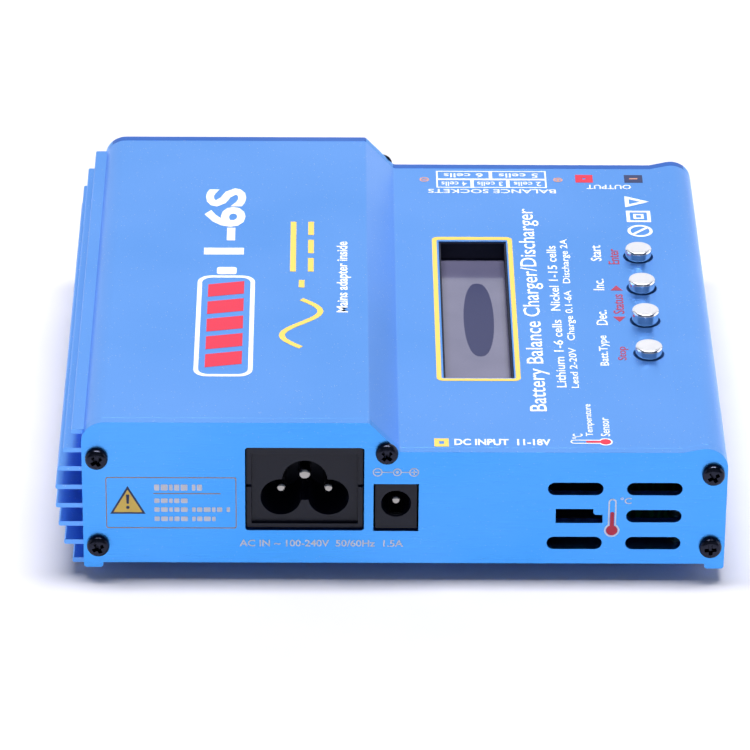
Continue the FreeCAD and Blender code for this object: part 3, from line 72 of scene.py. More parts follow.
class Shade:
    """A material's node tree, with a short call for each kind of node used here."""

    def __init__(self, name, metallic=0.0, roughness=0.5):
        self.material = bpy.data.materials.new(name)
        self.material.use_nodes = True
        self.tree = self.material.node_tree
        self.shader = self.tree.nodes["Principled BSDF"]
        self.place = self.add("ShaderNodeTexCoord").outputs["Object"]
        self.set("Metallic", metallic)
        self.set("Roughness", roughness)

    def add(self, kind, **settings):
        node = self.tree.nodes.new(kind)
        for key, setting in settings.items():
            setattr(node, key, setting)
        return node

    def link(self, value, socket):
        """Feeds a socket from another socket, or sets it to a plain value."""
        if isinstance(value, bpy.types.NodeSocket):
            self.tree.links.new(value, socket)
        else:
            socket.default_value = value

    def set(self, name, value):
        self.link(value, self.shader.inputs[name])

    def stretched(self, x, y, z):
        """The place, scaled by a different amount along each axis."""
        node = self.add("ShaderNodeMapping")
        node.inputs["Scale"].default_value = (x, y, z)
        self.link(self.place, node.inputs["Vector"])
        return node.outputs["Vector"]

    def noise(self, scale, detail=2.0, rough=0.5, place=None):
        node = self.add("ShaderNodeTexNoise")
        self.link(place or self.place, node.inputs["Vector"])
        self.link(scale, node.inputs["Scale"])
        self.link(detail, node.inputs["Detail"])
        self.link(rough, node.inputs["Roughness"])
        return node.outputs["Fac"]

    def specks(self, scale, share, radius=0.42):
        """1 within the radius of the middles of a small share of the texture's cells, and 0 elsewhere."""
        node = self.add("ShaderNodeTexVoronoi")
        self.link(self.place, node.inputs["Vector"])
        self.link(scale, node.inputs["Scale"])
        grain = self.add("ShaderNodeSeparateColor")
        self.link(node.outputs["Color"], grain.inputs["Color"])
        chosen = self.math("GREATER_THAN", grain.outputs[0], 1 - share)
        return self.math("MULTIPLY", chosen, self.math("LESS_THAN", node.outputs["Distance"], radius))

    def math(self, operation, a, b):
        node = self.add("ShaderNodeMath", operation=operation)
        self.link(a, node.inputs[0])
        self.link(b, node.inputs[1])
        return node.outputs["Value"]

    def spread(self, value, low, high):
        """A noise's values spread over low to high."""
        node = self.add("ShaderNodeMapRange")
        self.link(value, node.inputs["Value"])
        self.link(NOISE_LOW, node.inputs["From Min"])
        self.link(NOISE_HIGH, node.inputs["From Max"])
        self.link(low, node.inputs["To Min"])
        self.link(high, node.inputs["To Max"])
        return node.outputs["Result"]

    def mix(self, share, a, b):
        node = self.add("ShaderNodeMix", data_type="RGBA")
        self.link(share, node.inputs["Factor"])
        for colour, socket in ((a, MIX_A), (b, MIX_B)):
            self.link((*colour, 1) if isinstance(colour, tuple) else colour, node.inputs[socket])
        return node.outputs[MIX_RESULT]

    def bump(self, height, strength, depth):
        node = self.add("ShaderNodeBump")
        self.link(strength, node.inputs["Strength"])
        self.link(depth, node.inputs["Distance"])
        self.link(height, node.inputs["Height"])
        self.set("Normal", node.outputs["Normal"])


def blend(colour, other, share):
    """The colour, moved by a share of the way to another one."""
    return tuple(a + (b - a) * share for a, b in zip(colour, other))


def darker(colour, share):
    return blend(colour, BLACK, share)


def paler(colour, share):
    return blend(colour, WHITE, share)


def anodised(name, colour, roughness, streaks=None, sparkle=0.6):
    """Blasted and dyed aluminium: fine grain, a few bright grains, and streaks where it was brushed."""
    shade = Shade(name, metallic=1.0)
    grain = shade.noise(5200, detail=3, rough=0.6)
    cloud = shade.noise(26)
    tone = shade.mix(shade.spread(cloud, 0, 1), darker(colour, 0.04), paler(colour, 0.03))
    tone = shade.mix(shade.spread(grain, 0, 0.10), tone, darker(colour, 0.45))
    bright = shade.math("MULTIPLY", shade.specks(4200, share=0.012), sparkle)
    shade.set("Base Color", shade.mix(bright, tone, paler(colour, 0.7)))
    height = grain
    if streaks:
        lines = shade.noise(1, rough=0.6, place=shade.stretched(*streaks))
        height = shade.math("ADD", grain, lines)
        rough = shade.spread(lines, roughness - 0.04, roughness + 0.05)
    else:
        rough = shade.spread(grain, roughness - 0.05, roughness + 0.06)
    shade.set("Roughness", rough)
    shade.bump(height, strength=0.12, depth=0.02 * MM)
    return shade.material


def moulded(name, colour, roughness=0.42, specular=0.5):
    """Moulded plastic or rubber: a fine spark-eroded texture with slight changes of tone."""
    shade = Shade(name, roughness=roughness)
    shade.set("Specular IOR Level", specular)
    fine = shade.noise(1800, detail=3, rough=0.6)
    cloud = shade.noise(90)
    tone = shade.mix(shade.spread(cloud, 0, 1), darker(colour, 0.12), colour)
    shade.set("Base Color", shade.mix(shade.spread(fine, 0, 0.2), tone, darker(colour, 0.3)))
    shade.set("Roughness", shade.spread(fine, roughness - 0.06, roughness + 0.08))
    shade.bump(fine, strength=0.1, depth=0.03 * MM)
    return shade.material


def metal(name, colour, roughness=0.25, lines=(300, 300, 300), dulling=0.22):
    """Plain metal: faint machining lines, and smudges that dull it."""
    shade = Shade(name, metallic=1.0)
    scratch = shade.noise(1, detail=3, rough=0.6, place=shade.stretched(*lines))
    smudge = shade.noise(160, detail=3)
    shade.set("Base Color", shade.mix(shade.spread(smudge, 0, 0.5), colour, darker(colour, dulling)))
    shade.set("Roughness", shade.spread(scratch, roughness * 0.75, roughness * 1.3))
    shade.bump(scratch, strength=0.05, depth=0.01 * MM)
    return shade.material


def printed(name, colour, roughness=0.5):
    """Screen printed ink: slightly uneven cover, through which the blue below shows."""
    shade = Shade(name, roughness=roughness)
    grain = shade.noise(3600, rough=0.6)
    below = blend(colour, (0, 0.05, 0.3), 0.5)
    shade.set("Base Color", shade.mix(shade.spread(grain, 0, 0.14), colour, below))
    shade.bump(grain, strength=0.1, depth=0.01 * MM)
    return shade.material


def circuit_board(name):
    """Solder mask over copper: tracks show as lighter bands."""
    shade = Shade(name, roughness=0.32)
    bands = shade.add("ShaderNodeTexWave", wave_profile="SIN")
    shade.link(shade.place, bands.inputs["Vector"])
    shade.link(160, bands.inputs["Scale"])
    shade.link(9.0, bands.inputs["Distortion"])
    tracks = shade.math("GREATER_THAN", bands.outputs["Fac"], 0.62)
    shade.set("Base Color", shade.mix(tracks, (0.012, 0.085, 0.035), (0.02, 0.17, 0.06)))
    shade.bump(tracks, strength=0.3, depth=0.03 * MM)
    return shade.material


def display_face(name):
    """The display's unlit polariser: a cloudy grey violet under a gloss."""
    shade = Shade(name, roughness=0.16)
    shade.set("Coat Weight", 0.6)
    shade.set("Coat Roughness", 0.08)
    cloud = shade.noise(70)
    fine = shade.noise(2600)
    tone = shade.mix(shade.spread(cloud, 0, 1), (0.125, 0.120, 0.205), (0.16, 0.152, 0.245))
    shade.set("Base Color", shade.mix(shade.spread(fine, 0, 0.1), tone, (0.09, 0.088, 0.15)))
    shade.bump(fine, strength=0.04, depth=0.01 * MM)
    return shade.material


case_blue = anodised("case_blue", (0.148, 0.422, 0.99), roughness=0.36)
plate_blue = anodised("plate_blue", (0.072, 0.385, 0.96), roughness=0.3, streaks=(60, 60, 5200), sparkle=0.15)
edge_blue = anodised("edge_blue", (0.05, 0.19, 0.66), roughness=0.42, streaks=(60, 5200, 60), sparkle=0.1)
screw_black = metal("screw_black", (0.028, 0.03, 0.045), 0.24)
inlet_black = moulded("inlet_black", (0.004, 0.005, 0.016), 0.4, specular=0.34)
port_black = moulded("port_black", (0.006, 0.006, 0.010), 0.5, specular=0.3)
socket_white = moulded("socket_white", (0.78, 0.77, 0.70), 0.35)
output_red = moulded("output_red", (0.55, 0.02, 0.02), 0.28)
output_black = moulded("output_black", (0.015, 0.015, 0.017), 0.28)
# painted shade: the pins' nickel is made darker to stand for the shade deep in the inlet
nickel_with_painted_shade = metal("nickel_with_painted_shade", (0.42, 0.40, 0.37), 0.16)
gold = metal("gold", (0.83, 0.58, 0.22), 0.22)
brass = metal("brass", (0.70, 0.50, 0.22), 0.32)
steel = metal("steel", (0.55, 0.56, 0.58), 0.3)
copper = metal("copper", (0.62, 0.26, 0.10), 0.35)
chrome = metal("chrome", (0.97, 0.96, 0.97), 0.07, lines=(60, 60, 60), dulling=0.04)
satin_chrome = metal("satin_chrome", (0.98, 0.96, 0.965), 0.36, lines=(900, 900, 900), dulling=0.05)
foot_rubber = moulded("foot_rubber", (0.014, 0.014, 0.015), 0.6, specular=0.3)
board_green = circuit_board("board_green")
display_panel = display_face("display_panel")
gasket_black = moulded("gasket_black", (0.008, 0.010, 0.028), 0.55, specular=0.3)
fan_black = moulded("fan_black", (0.012, 0.012, 0.013), 0.45)
nylon = moulded("nylon", (0.72, 0.72, 0.66), 0.5)
ferrite = moulded("ferrite", (0.05, 0.05, 0.055), 0.6)
tape = moulded("tape", (0.75, 0.5, 0.06), 0.35)
sleeve = moulded("sleeve", (0.012, 0.012, 0.03), 0.3)
silicone_red = moulded("silicone_red", (0.45, 0.02, 0.02), 0.45)
clear_tube = moulded("clear_tube", (0.7, 0.7, 0.66), 0.12)
ink_white = printed("ink_white", (0.92, 0.93, 0.97))
ink_red = printed("ink_red", (0.70, 0.015, 0.045))
ink_wine = printed("ink_wine", (0.42, 0.03, 0.075))
ink_gold = printed("ink_gold", (0.93, 0.62, 0.10))
ink_cream = printed("ink_cream", (0.84, 0.82, 0.86))
ink_brown = printed("ink_brown", (0.50, 0.30, 0.12))
ink_orange = printed("ink_orange", (0.72, 0.33, 0.20))
ink_dark = printed("ink_dark", (0.02, 0.03, 0.10))
# a painted reflection: the dark oval laid as a thin print on the display's glass
painted_reflection = printed("painted_reflection", (0.018, 0.020, 0.085), 0.35)

SLOT_MATERIALS = {
    "case_blue": case_blue, "plate_blue": plate_blue, "screw_black": screw_black, "inlet_black": inlet_black,
    "pin_nickel": nickel_with_painted_shade, "jack_black": inlet_black, "port_black": port_black,
    "socket_white": socket_white, "output_red": output_red, "output_black": output_black,
    "sleeve_gold": gold, "nut_nickel": steel, "board_green": board_green, "display_frame": screw_black,
    "display_panel": display_panel, "backlight_white": nylon, "gasket_black": gasket_black,
    "key_chrome": chrome, "switch_black": port_black, "nylon_white": nylon, "post_brass": brass,
    "screw_steel": steel, "fuse_glass": clear_tube, "capacitor_yellow": tape, "ferrite_grey": ferrite,
    "winding_copper": copper, "tape_yellow": tape, "capacitor_black": sleeve, "chip_black": port_black,
    "fan_black": fan_black, "wire_red": silicone_red, "foot_rubber": foot_rubber,
}

node_slot = {entry["node"]: entry["material_slot"] for entry in frame["record"]["subparts"]}
for name, cad_node in nodes.items():
    for slot in cad_node.material_slots:
        slot.material = SLOT_MATERIALS[node_slot[name]]


# --- pieces ---------------------------------------------------------------------------------------------

WELD = 1e-7  # corners of a mesh closer than this many metres are one corner
FLAT_ANGLE = 0.2  # degrees, below which two facets are parts of one flat face
BEVEL_ANGLE = 28  # degrees, above which an edge gets a bevel
SHARP_ANGLE = 32  # degrees, above which an edge shows as a sharp line


def dress(piece, material):
    """Gives a piece one material."""
    piece.data.materials.clear()
    piece.data.materials.append(material)


def make_piece(name, mesh, material, body):
    """A finished piece: its material and the body it rides on."""
    piece = bpy.data.objects.new(name, mesh)
    bpy.context.scene.collection.objects.link(piece)
    dress(piece, material)
    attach(piece, body)
    return piece


def apply_modifiers(piece):
    seen = piece.evaluated_get(bpy.context.evaluated_depsgraph_get())
    mesh = bpy.data.meshes.new_from_object(seen)
    piece.modifiers.clear()
    piece.data = mesh


def sharpen(mesh):
    """Smooth shading, with the steeper edges kept sharp."""
    bm = bmesh.new()
    bm.from_mesh(mesh)
    for face in bm.faces:
        face.smooth = True
    for edge in bm.edges:
        edge.smooth = edge.is_manifold and edge.calc_face_angle(0) < math.radians(SHARP_ANGLE)
    bm.to_mesh(mesh)
    bm.free()


def flatten_shading(piece):
    """Smooth shading on the bevels that leaves the wide faces beside them flat."""
    sharpen(piece.data)
    weighted = piece.modifiers.new("flat_faces", "WEIGHTED_NORMAL")
    weighted.mode = "FACE_AREA"
    weighted.weight = 100
    weighted.keep_sharp = True
    apply_modifiers(piece)


def refine(node, width, material):
    """Stands for a CAD node with the same shape, its sharp edges broken by small round bevels."""
    mesh = nodes[node].data.copy()
    bm = bmesh.new()
    bm.from_mesh(mesh)
    bmesh.ops.remove_doubles(bm, verts=bm.verts, dist=WELD)
    bmesh.ops.dissolve_limit(bm, angle_limit=math.radians(FLAT_ANGLE), verts=bm.verts, edges=bm.edges)
    bm.to_mesh(mesh)
    bm.free()
    piece = make_piece(f"{node}_finished", mesh, material, "case")
    bevel = piece.modifiers.new("broken_edges", "BEVEL")
    bevel.width = width
    bevel.segments = 2
    bevel.limit_method = "ANGLE"
    bevel.angle_limit = math.radians(BEVEL_ANGLE)
    bevel.miter_outer = "MITER_ARC"
    apply_modifiers(piece)
    flatten_shading(piece)
    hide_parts(node)
    return piece


def face_strip(piece, material, least=0.8):
    """Gives a piece's upward faces, whose normals have at least this z, a material of their own."""
    piece.data.materials.append(material)
    for face in piece.data.polygons:
        if face.normal.z > least:
            face.material_index = 1


def lathe(name, profile, centre, material, body, turns=96):
    """A turned piece about the vertical line through centre, from a closed outline of (radius, z) points."""
    bm = bmesh.new()
    rings = []
    for radius, z in profile:
        if radius == 0:
            rings.append([bm.verts.new((centre[0], centre[1], z))])
            continue
        rings.append([
            bm.verts.new((centre[0] + radius * math.cos(a), centre[1] + radius * math.sin(a), z))
            for a in (2 * math.pi * n / turns for n in range(turns))
        ])
    for low, high in zip(rings, rings[1:] + rings[:1]):
        for n in range(turns):
            m = n + 1
            corners = [low[n % len(low)], low[m % len(low)], high[m % len(high)], high[n % len(high)]]
            unique = list(dict.fromkeys(corners))
            if len(unique) > 2:
                bm.faces.new(unique)
    bmesh.ops.recalc_face_normals(bm, faces=bm.faces)
    mesh = bpy.data.meshes.new(name)
    bm.to_mesh(mesh)
    bm.free()
    sharpen(mesh)
    return make_piece(name, mesh, material, body)


# --- finished nodes -------------------------------------------------------------------------------------

# The width in millimetres of each node's broken edges, and its material.
BROKEN_EDGES = {
    "top_cover": (0.18, case_blue),
    "bottom_tray": (0.12, case_blue),
    "front_plate": (0.16, plate_blue),
    "rear_plate": (0.16, plate_blue),
    "inlet_body": (0.12, inlet_black),
    "jack_body": (0.12, inlet_black),
    "sensor_socket": (0.1, port_black),
    **{f"balance_socket_{cells}s": (0.1, socket_white) for cells in range(2, 7)},
}

# The front plate's top edge matches the cover; the rear plate's is a darker blue.
PLATE_STRIPS = {"front_plate": case_blue, "rear_plate": edge_blue}


def finish_nodes():
    for node, (width, material) in BROKEN_EDGES.items():
        piece = refine(node, width * MM, material)
        if node in PLATE_STRIPS:
            face_strip(piece, PLATE_STRIPS[node])


# --- plate screws ---------------------------------------------------------------------------------------

# Millimetres. The shank from its tip up to the plate, then the head from the plate to its crown, as (radius,
# height above the plate).
SCREW_SHANK = [(0.0, -8.0), (1.1, -8.0), (1.2, -7.7), (1.2, 0.0)]
SCREW_HEAD = [(2.3, 0.0), (2.42, 0.1), (2.45, 0.3), (2.42, 0.75), (2.28, 1.12), (2.02, 1.4), (1.6, 1.58),
              (1.05, 1.67), (0.0, 1.7)]
# A cross recess's slot at its floor and clear of the head: height, half its length, half its width.
RECESS_FLOOR, RECESS_MOUTH = (0.6, 0.75, 0.30), (2.4, 1.75, 0.52)
SCREW_TURNS = (35, 28, 45, 4, 30)  # each recess's turn in degrees, in the order of the places in x


def loose_parts(mesh):
    """The middle of each separate solid's box in a mesh."""
    bm = bmesh.new()
    bm.from_mesh(mesh)
    bmesh.ops.remove_doubles(bm, verts=bm.verts, dist=WELD)
    unseen, middles = set(bm.verts), []
    while unseen:
        found, waiting = set(), [unseen.pop()]
        while waiting:
            vertex = waiting.pop()
            found.add(vertex)
            for edge in vertex.link_edges:
                other = edge.other_vert(vertex)
                if other in unseen:
                    unseen.discard(other)
                    waiting.append(other)
        places = [vertex.co for vertex in found]
        middles.append(tuple((min(p[k] for p in places) + max(p[k] for p in places)) / 2 for k in range(3)))
    bm.free()
    return sorted(middles)


def cross_cutter(turn):
    """The wedge shaped tool that makes a cross recess, wide at the top and narrow at the bottom."""
    bm = bmesh.new()
    for quarter in (0, 90):
        spin = Matrix.Rotation(math.radians(turn + quarter), 4, "Z")
        rings = []
        for z, reach, half in (RECESS_FLOOR, RECESS_MOUTH):
            corners = ((-reach, -half), (reach, -half), (reach, half), (-reach, half))
            rings.append([bm.verts.new(spin @ Vector((x * MM, y * MM, z * MM))) for x, y in corners])
        low, high = rings
        bm.faces.new(low[::-1])
        bm.faces.new(high)
        for n in range(4):
            m = (n + 1) % 4
            bm.faces.new((low[n], low[m], high[m], high[n]))
    bmesh.ops.recalc_face_normals(bm, faces=bm.faces)
    return bm


def cut_out(piece, tool_bm):
    """Cuts the tool out of the piece."""
    mesh = bpy.data.meshes.new("cross_tool")
    tool_bm.to_mesh(mesh)
    tool_bm.free()
    tool = bpy.data.objects.new("cross_tool", mesh)
    bpy.context.scene.collection.objects.link(tool)
    boolean = piece.modifiers.new("recess", "BOOLEAN")
    boolean.operation = "DIFFERENCE"
    boolean.solver = "EXACT"
    boolean.use_self = True
    boolean.object = tool
    apply_modifiers(piece)
    bpy.data.objects.remove(tool)


def make_plate_screws():
    """A domed screw head with a cross recess at each of the plates' screws, and the shank behind it."""
    middles = loose_parts(nodes["plate_screws"].data)
    profile = [(radius * MM, height * MM) for radius, height in SCREW_SHANK + SCREW_HEAD]
    for end, side in (("front", -1), ("rear", 1)):
        face = FRONT if side < 0 else REAR_HIGH.y
        outward = Matrix.Rotation(math.radians(-90 * side), 4, "X")
        for n, (x, _, z) in enumerate(place for place in middles if place[1] * side > 0):
            name = f"{end}_screw_{n + 1}"
            piece = lathe(name, profile, (0, 0), screw_black, "case", turns=48)
            cut_out(piece, cross_cutter(SCREW_TURNS[n]))
            sharpen(piece.data)
            piece.data.transform(Matrix.Translation((x, face, z)) @ outward)
            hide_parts("plate_screws")


# --- keys -----------------------------------------------------------------------------------------------

# Millimetres. The socket takes the key's stem from below, and the flange stays under the cover.
SOCKET_RADIUS, SOCKET_DEPTH = 1.75, 3.4
FLANGE_RADIUS, FLANGE_HEIGHT = 4.0, 0.8
NECK_RADIUS = 2.96
# A key's barrelled side and round edge, from the neck up, as (radius, distance below the top).
KEY_CROWN = [(NECK_RADIUS, 0.95), (3.02, 0.9), (3.09, 0.86), (3.1, 0.8), (3.085, 0.62), (3.04, 0.45),
             (2.96, 0.29), (2.85, 0.16), (2.70, 0.06), (2.5, 0.01), (2.4, 0.0)]


def make_keys():
    """The chrome keys, polished at the side and satin on top."""
    for key in KEYS:
        low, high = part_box(f"key_cap_{key}")
        centre = ((low.x + high.x) / 2, (low.y + high.y) / 2)
        bottom, top = low.z, high.z
        flange, socket = bottom + FLANGE_HEIGHT * MM, bottom + SOCKET_DEPTH * MM
        crown = [(radius, top - drop * MM) for radius, drop in KEY_CROWN]
        profile = [(SOCKET_RADIUS, bottom), (FLANGE_RADIUS, bottom), (FLANGE_RADIUS, flange),
                   (NECK_RADIUS, flange), *crown, (0.0, top), (0.0, socket), (SOCKET_RADIUS, socket)]
        profile = [(radius * MM, z) for radius, z in profile]
        piece = lathe(f"key_{key}_chrome", profile, centre, chrome, f"key_{key}")
        face_strip(piece, satin_chrome, least=0.75)
        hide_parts(f"key_cap_{key}")


# --- prints ---------------------------------------------------------------------------------------------

# All sizes and places of prints are millimetres on the face that they lie on. On the level faces u runs from
# the case's left and v from its front; on the front plate v runs up from the underside.

INK = 0.03 * MM  # a print's thickness
INK_LIFT = 0.1  # how far a print starts above its face, as a share of its thickness


def level_face(height):
    """Where u, v and the height t above a level face lie."""
    return lambda u, v, t: Vector((LEFT + u * MM, FRONT + v * MM, height + t))


FACES = {
    "high": level_face(HIGH_TOP),
    "low": level_face(LOW_TOP),
    "glass": level_face(GLASS_HIGH.z),
    "front": lambda u, v, t: Vector((LEFT + u * MM, FRONT - t, UNDERSIDE + v * MM)),
}


def print_shapes(name, face, material, shapes, level=0):
    """Flat prints. A shape is an outline, or a pair of outlines of equal length, outer and inner."""
    at = FACES[face]
    heights = INK * (INK_LIFT + level), INK * (1 + level)
    bm = bmesh.new()
    for shape in shapes:
        lines = shape if isinstance(shape, tuple) else (shape,)
        loops = [[bm.verts.new(at(u, v, t)) for u, v in line] for line in lines for t in heights]
        if len(lines) == 2:
            outer_low, outer_high, inner_low, inner_high = loops
            strips = ((outer_high, inner_high), (inner_high, inner_low), (inner_low, outer_low),
                      (outer_low, outer_high))
        else:
            bm.faces.new(loops[0])
            bm.faces.new(loops[1])
            strips = (loops,)
        for a, b in strips:
            for n in range(len(a)):
                m = (n + 1) % len(a)
                bm.faces.new((a[n], a[m], b[m], b[n]))
    bmesh.ops.recalc_face_normals(bm, faces=bm.faces)
    mesh = bpy.data.meshes.new(name)
    bm.to_mesh(mesh)
    bm.free()
    return make_piece(name, mesh, material, "case")


def print_words(name, words, face, material, area, way="north", weight=0.01):
    """Words fitted to the area (u low, u high, v low, v high), reading east, north or west on the face."""
    curve = bpy.data.curves.new(name, "FONT")
    curve.body = words
    curve.extrude = 0.01  # of no account, as the words' two sides are laid at the ink's own heights below
    curve.offset = weight
    curve.resolution_u = 3
    text = bpy.data.objects.new(name, curve)
    bpy.context.scene.collection.objects.link(text)
    mesh = bpy.data.meshes.new_from_object(text.evaluated_get(bpy.context.evaluated_depsgraph_get()))
    bpy.data.objects.remove(text)
    xs = [vertex.co.x for vertex in mesh.vertices]
    ys = [vertex.co.y for vertex in mesh.vertices]
    u0, u1, v0, v1 = area
    at = FACES[face]
    for vertex in mesh.vertices:
        along = (vertex.co.x - min(xs)) / (max(xs) - min(xs))
        up = (vertex.co.y - min(ys)) / (max(ys) - min(ys))
        if way == "north":
            u, v = u1 - up * (u1 - u0), v0 + along * (v1 - v0)
        elif way == "west":
            u, v = u1 - along * (u1 - u0), v1 - up * (v1 - v0)
        else:
            u, v = u0 + along * (u1 - u0), v0 + up * (v1 - v0)
        vertex.co = at(u, v, INK if vertex.co.z > 0 else INK * INK_LIFT)
    mesh.materials.clear()
    return make_piece(name, mesh, material, "case")


def rectangle(u0, u1, v0, v1):
    return [(u0, v0), (u1, v0), (u1, v1), (u0, v1)]


def soft_rectangle(u0, u1, v0, v1, radius, steps=6):
    """A rectangle with round corners."""
    line = []
    for cu, cv, start in ((u1 - radius, v0 + radius, -90), (u1 - radius, v1 - radius, 0),
                          (u0 + radius, v1 - radius, 90), (u0 + radius, v0 + radius, 180)):
        for n in range(steps + 1):
            a = math.radians(start + 90 * n / steps)
            line.append((cu + radius * math.cos(a), cv + radius * math.sin(a)))
    return line


def oval(u, v, radius_u, radius_v, power=1.0):
    """An ellipse, with fuller sides where the power is below 1."""
    line = []
    steps = 48
    for n in range(steps):
        a = 2 * math.pi * n / steps
        side = math.copysign(abs(math.cos(a)) ** power, math.cos(a))
        line.append((u + radius_u * side, v + radius_v * math.sin(a)))
    return line


def ring(u, v, radius, width):
    return oval(u, v, radius, radius), oval(u, v, radius - width, radius - width)


def band(points, width):
    """A line of even width through the points."""
    left, right = [], []
    for n, (u, v) in enumerate(points):
        before, after = points[max(n - 1, 0)], points[min(n + 1, len(points) - 1)]
        run = Vector((after[0] - before[0], after[1] - before[1])).normalized() * width / 2
        left.append((u - run.y, v + run.x))
        right.append((u + run.y, v - run.x))
    return left + right[::-1]


def sine_wave(u, v0, v1, swing):
    """One cycle of a sine wave that runs along v."""
    steps = 60
    return [(u - swing * math.sin(2 * math.pi * n / steps), v0 + (v1 - v0) * n / steps)
            for n in range(steps + 1)]


def plus_sign(u, v, size, width):
    a, b = size / 2, width / 2
    return [(u - b, v - a), (u + b, v - a), (u + b, v - b), (u + a, v - b), (u + a, v + b), (u + b, v + b),
            (u + b, v + a), (u - b, v + a), (u - b, v + b), (u - a, v + b), (u - a, v - b), (u - b, v - b)]


def thermometer_line(bulb_radius, half_tube, tall):
    """A thermometer's outline: a bulb about the origin, and a tube up to a round end."""
    start = math.degrees(math.asin(half_tube / bulb_radius))
    steps = 28
    turn = [math.radians(90 + start + n * (360 - 2 * start) / steps) for n in range(steps + 1)]
    bulb = [(bulb_radius * math.cos(a), bulb_radius * math.sin(a)) for a in turn]
    half_turn = [math.radians(a) for a in range(0, 181, 30)]
    end = [(half_tube * math.cos(a), tall - half_tube + half_tube * math.sin(a)) for a in half_turn]
    return bulb + end


def print_thermometer(face, place, size, tall, level, lying=False):
    """A thermometer with a white outline, red in the bulb and part way up the tube."""
    def lay(line):
        if lying:
            return [(place[0] - y * size, place[1] + x * size) for x, y in line]
        return [(place[0] + x * size, place[1] + y * size) for x, y in line]

    wall = 0.33
    outside = lay(thermometer_line(1.65, 0.88, tall))
    inside = lay(thermometer_line(1.3, 0.55, tall - wall))
    print_shapes(f"thermometer_{face}_glass", face, ink_white, [(outside, inside)])
    print_shapes(f"thermometer_{face}_red", face, ink_red, [lay(thermometer_line(1.24, 0.44, level))])


def print_high_top():
    """The mark on the high side: a battery in red, cell numbers in white and current signs in gold."""
    rim = soft_rectangle(23.4, 36.2, 20, 66, radius=3.0)
    inside = soft_rectangle(24.4, 35.2, 21, 65, radius=2.2)
    terminal = soft_rectangle(27.6, 32.0, 66.6, 70, radius=0.7)
    print_shapes("mark_battery_rim", "high", ink_white, [(rim, inside)])
    print_shapes("mark_battery_terminal", "high", ink_white, [terminal])
    left, right, length, slant, pitch = 25.8, 33.8, 5.8, 1.6, 8.0
    cells = []
    for n in range(5):
        v = 24.0 + n * pitch
        cells.append([(left, v), (right, v + slant), (right, v + slant + length), (left, v + length)])
    print_shapes("mark_battery_cells", "high", ink_red, cells)
    print_words("mark_cells", "1-6S", "high", ink_white, (24.2, 33.6, 76, 108.5), weight=0.03)

    stroke = 1.3
    signs = [band(sine_wave(46.6, 33, 55, swing=4.2), stroke)]
    dot, solid = (46.6, 60.5, 64), (44.6, 68, 92)
    dashes = [(48.6, v, v + 6.4) for v in (68, 76.8, 85.6)]
    for u, v0, v1 in (dot, solid, *dashes):
        signs.append(band([(u, v0), (u, v1)], stroke))
    print_shapes("mark_currents", "high", ink_gold, signs)
    caption = "Mains adapter inside"
    print_words("caption_adapter", caption, "high", ink_white, (54.4, 57.6, 49, 82.4), weight=0.02)


def print_low_top():
    """The low side: the display's frame, the headline and ratings, and everything round the keys."""
    outer = soft_rectangle(76.3, 94.7, 31.0, 98.3, radius=1.4)
    inner = soft_rectangle(77.35, 93.65, 32.0, 96.9, radius=0.5)
    print_shapes("display_frame_print", "low", ink_gold, [(outer, inner)])
    for name, words, area, weight in (
        ("headline", "Battery Balance Charger/Discharger", (96.2, 101.1, 17.7, 112.4), 0.005),
        ("rating_one", "Lithium 1-6 cells   Nickel 1-15 cells", (102.4, 104.6, 28.2, 94.1), 0.01),
        ("rating_two", "Lead 2-20V   Charge 0.1-6A   Discharge 2A", (105.6, 107.8, 28.0, 97.4), 0.01),
    ):
        print_words(name, words, "low", ink_white, area, weight=weight)
    print_key_captions()
    print_input_captions()
    print_socket_table()
    print_plain_marks()


def print_key_captions():
    """The keys' names in two rows, white and wine red, with an arrow at each end of the middle name."""
    rows = (
        (ink_white, 112.4, (("Batt.Type", 38, 51.7), ("Dec.", 56.5, 63.5), ("Inc.", 72.8, 78.2),
                            ("Start", 86.8, 94.4))),
        (ink_wine, 116.4, (("Stop", 40.5, 46.6), ("Status", 61.8, 70.9), ("Enter", 85.3, 92.7))),
    )
    tall = 2.5
    for ink, u, captions in rows:
        for words, v0, v1 in captions:
            name = "caption_" + words.lower().replace(".", "")
            print_words(name, words, "low", ink, (u, u + tall, v0, v1))
    arrows = [[(117.6, 58.0), (119.0, 60.4), (116.2, 60.4)], [(117.6, 75.1), (116.2, 72.7), (119.0, 72.7)]]
    print_shapes("caption_arrows", "low", ink_wine, arrows)


def print_input_captions():
    """The low voltage input's mark and caption, and the temperature port's caption with a thermometer."""
    mark = rectangle(75.3, 78.4, 2.4, 5.8), rectangle(76.3, 77.4, 3.5, 4.7)
    print_shapes("input_mark", "low", ink_gold, [mark])
    print_words("caption_input", "DC INPUT  11-18V", "low", ink_white, (79.6, 100.2, 3.0, 5.7), "east", 0.03)
    print_words("caption_temperature", "Temperature", "low", ink_white, (107.9, 109.9, 7.0, 20.9))
    print_words("caption_sensor", "Sensor", "low", ink_white, (111.1, 113.1, 7.0, 15.0))
    print_thermometer("low", (112.0, 4.6), size=0.92, tall=8.2, level=4.6, lying=True)
    print_words("degrees_low", "°C", "low", ink_white, (104.9, 107.2, 5.9, 8.0))


# The socket table: each cell's number, its ends in u, its lower side in v, and its words' ends in u.
TABLE_CELLS = (
    (6, (77.8, 90.6), 127.3, (79.6, 88.8)),
    (5, (90.6, 103.7), 127.3, (92.6, 101.8)),
    (4, (77.8, 86.2), 123.0, (79.0, 85.0)),
    (3, (86.2, 94.6), 123.0, (87.4, 93.4)),
    (2, (94.6, 103.7), 123.0, (96.0, 102.4)),
)


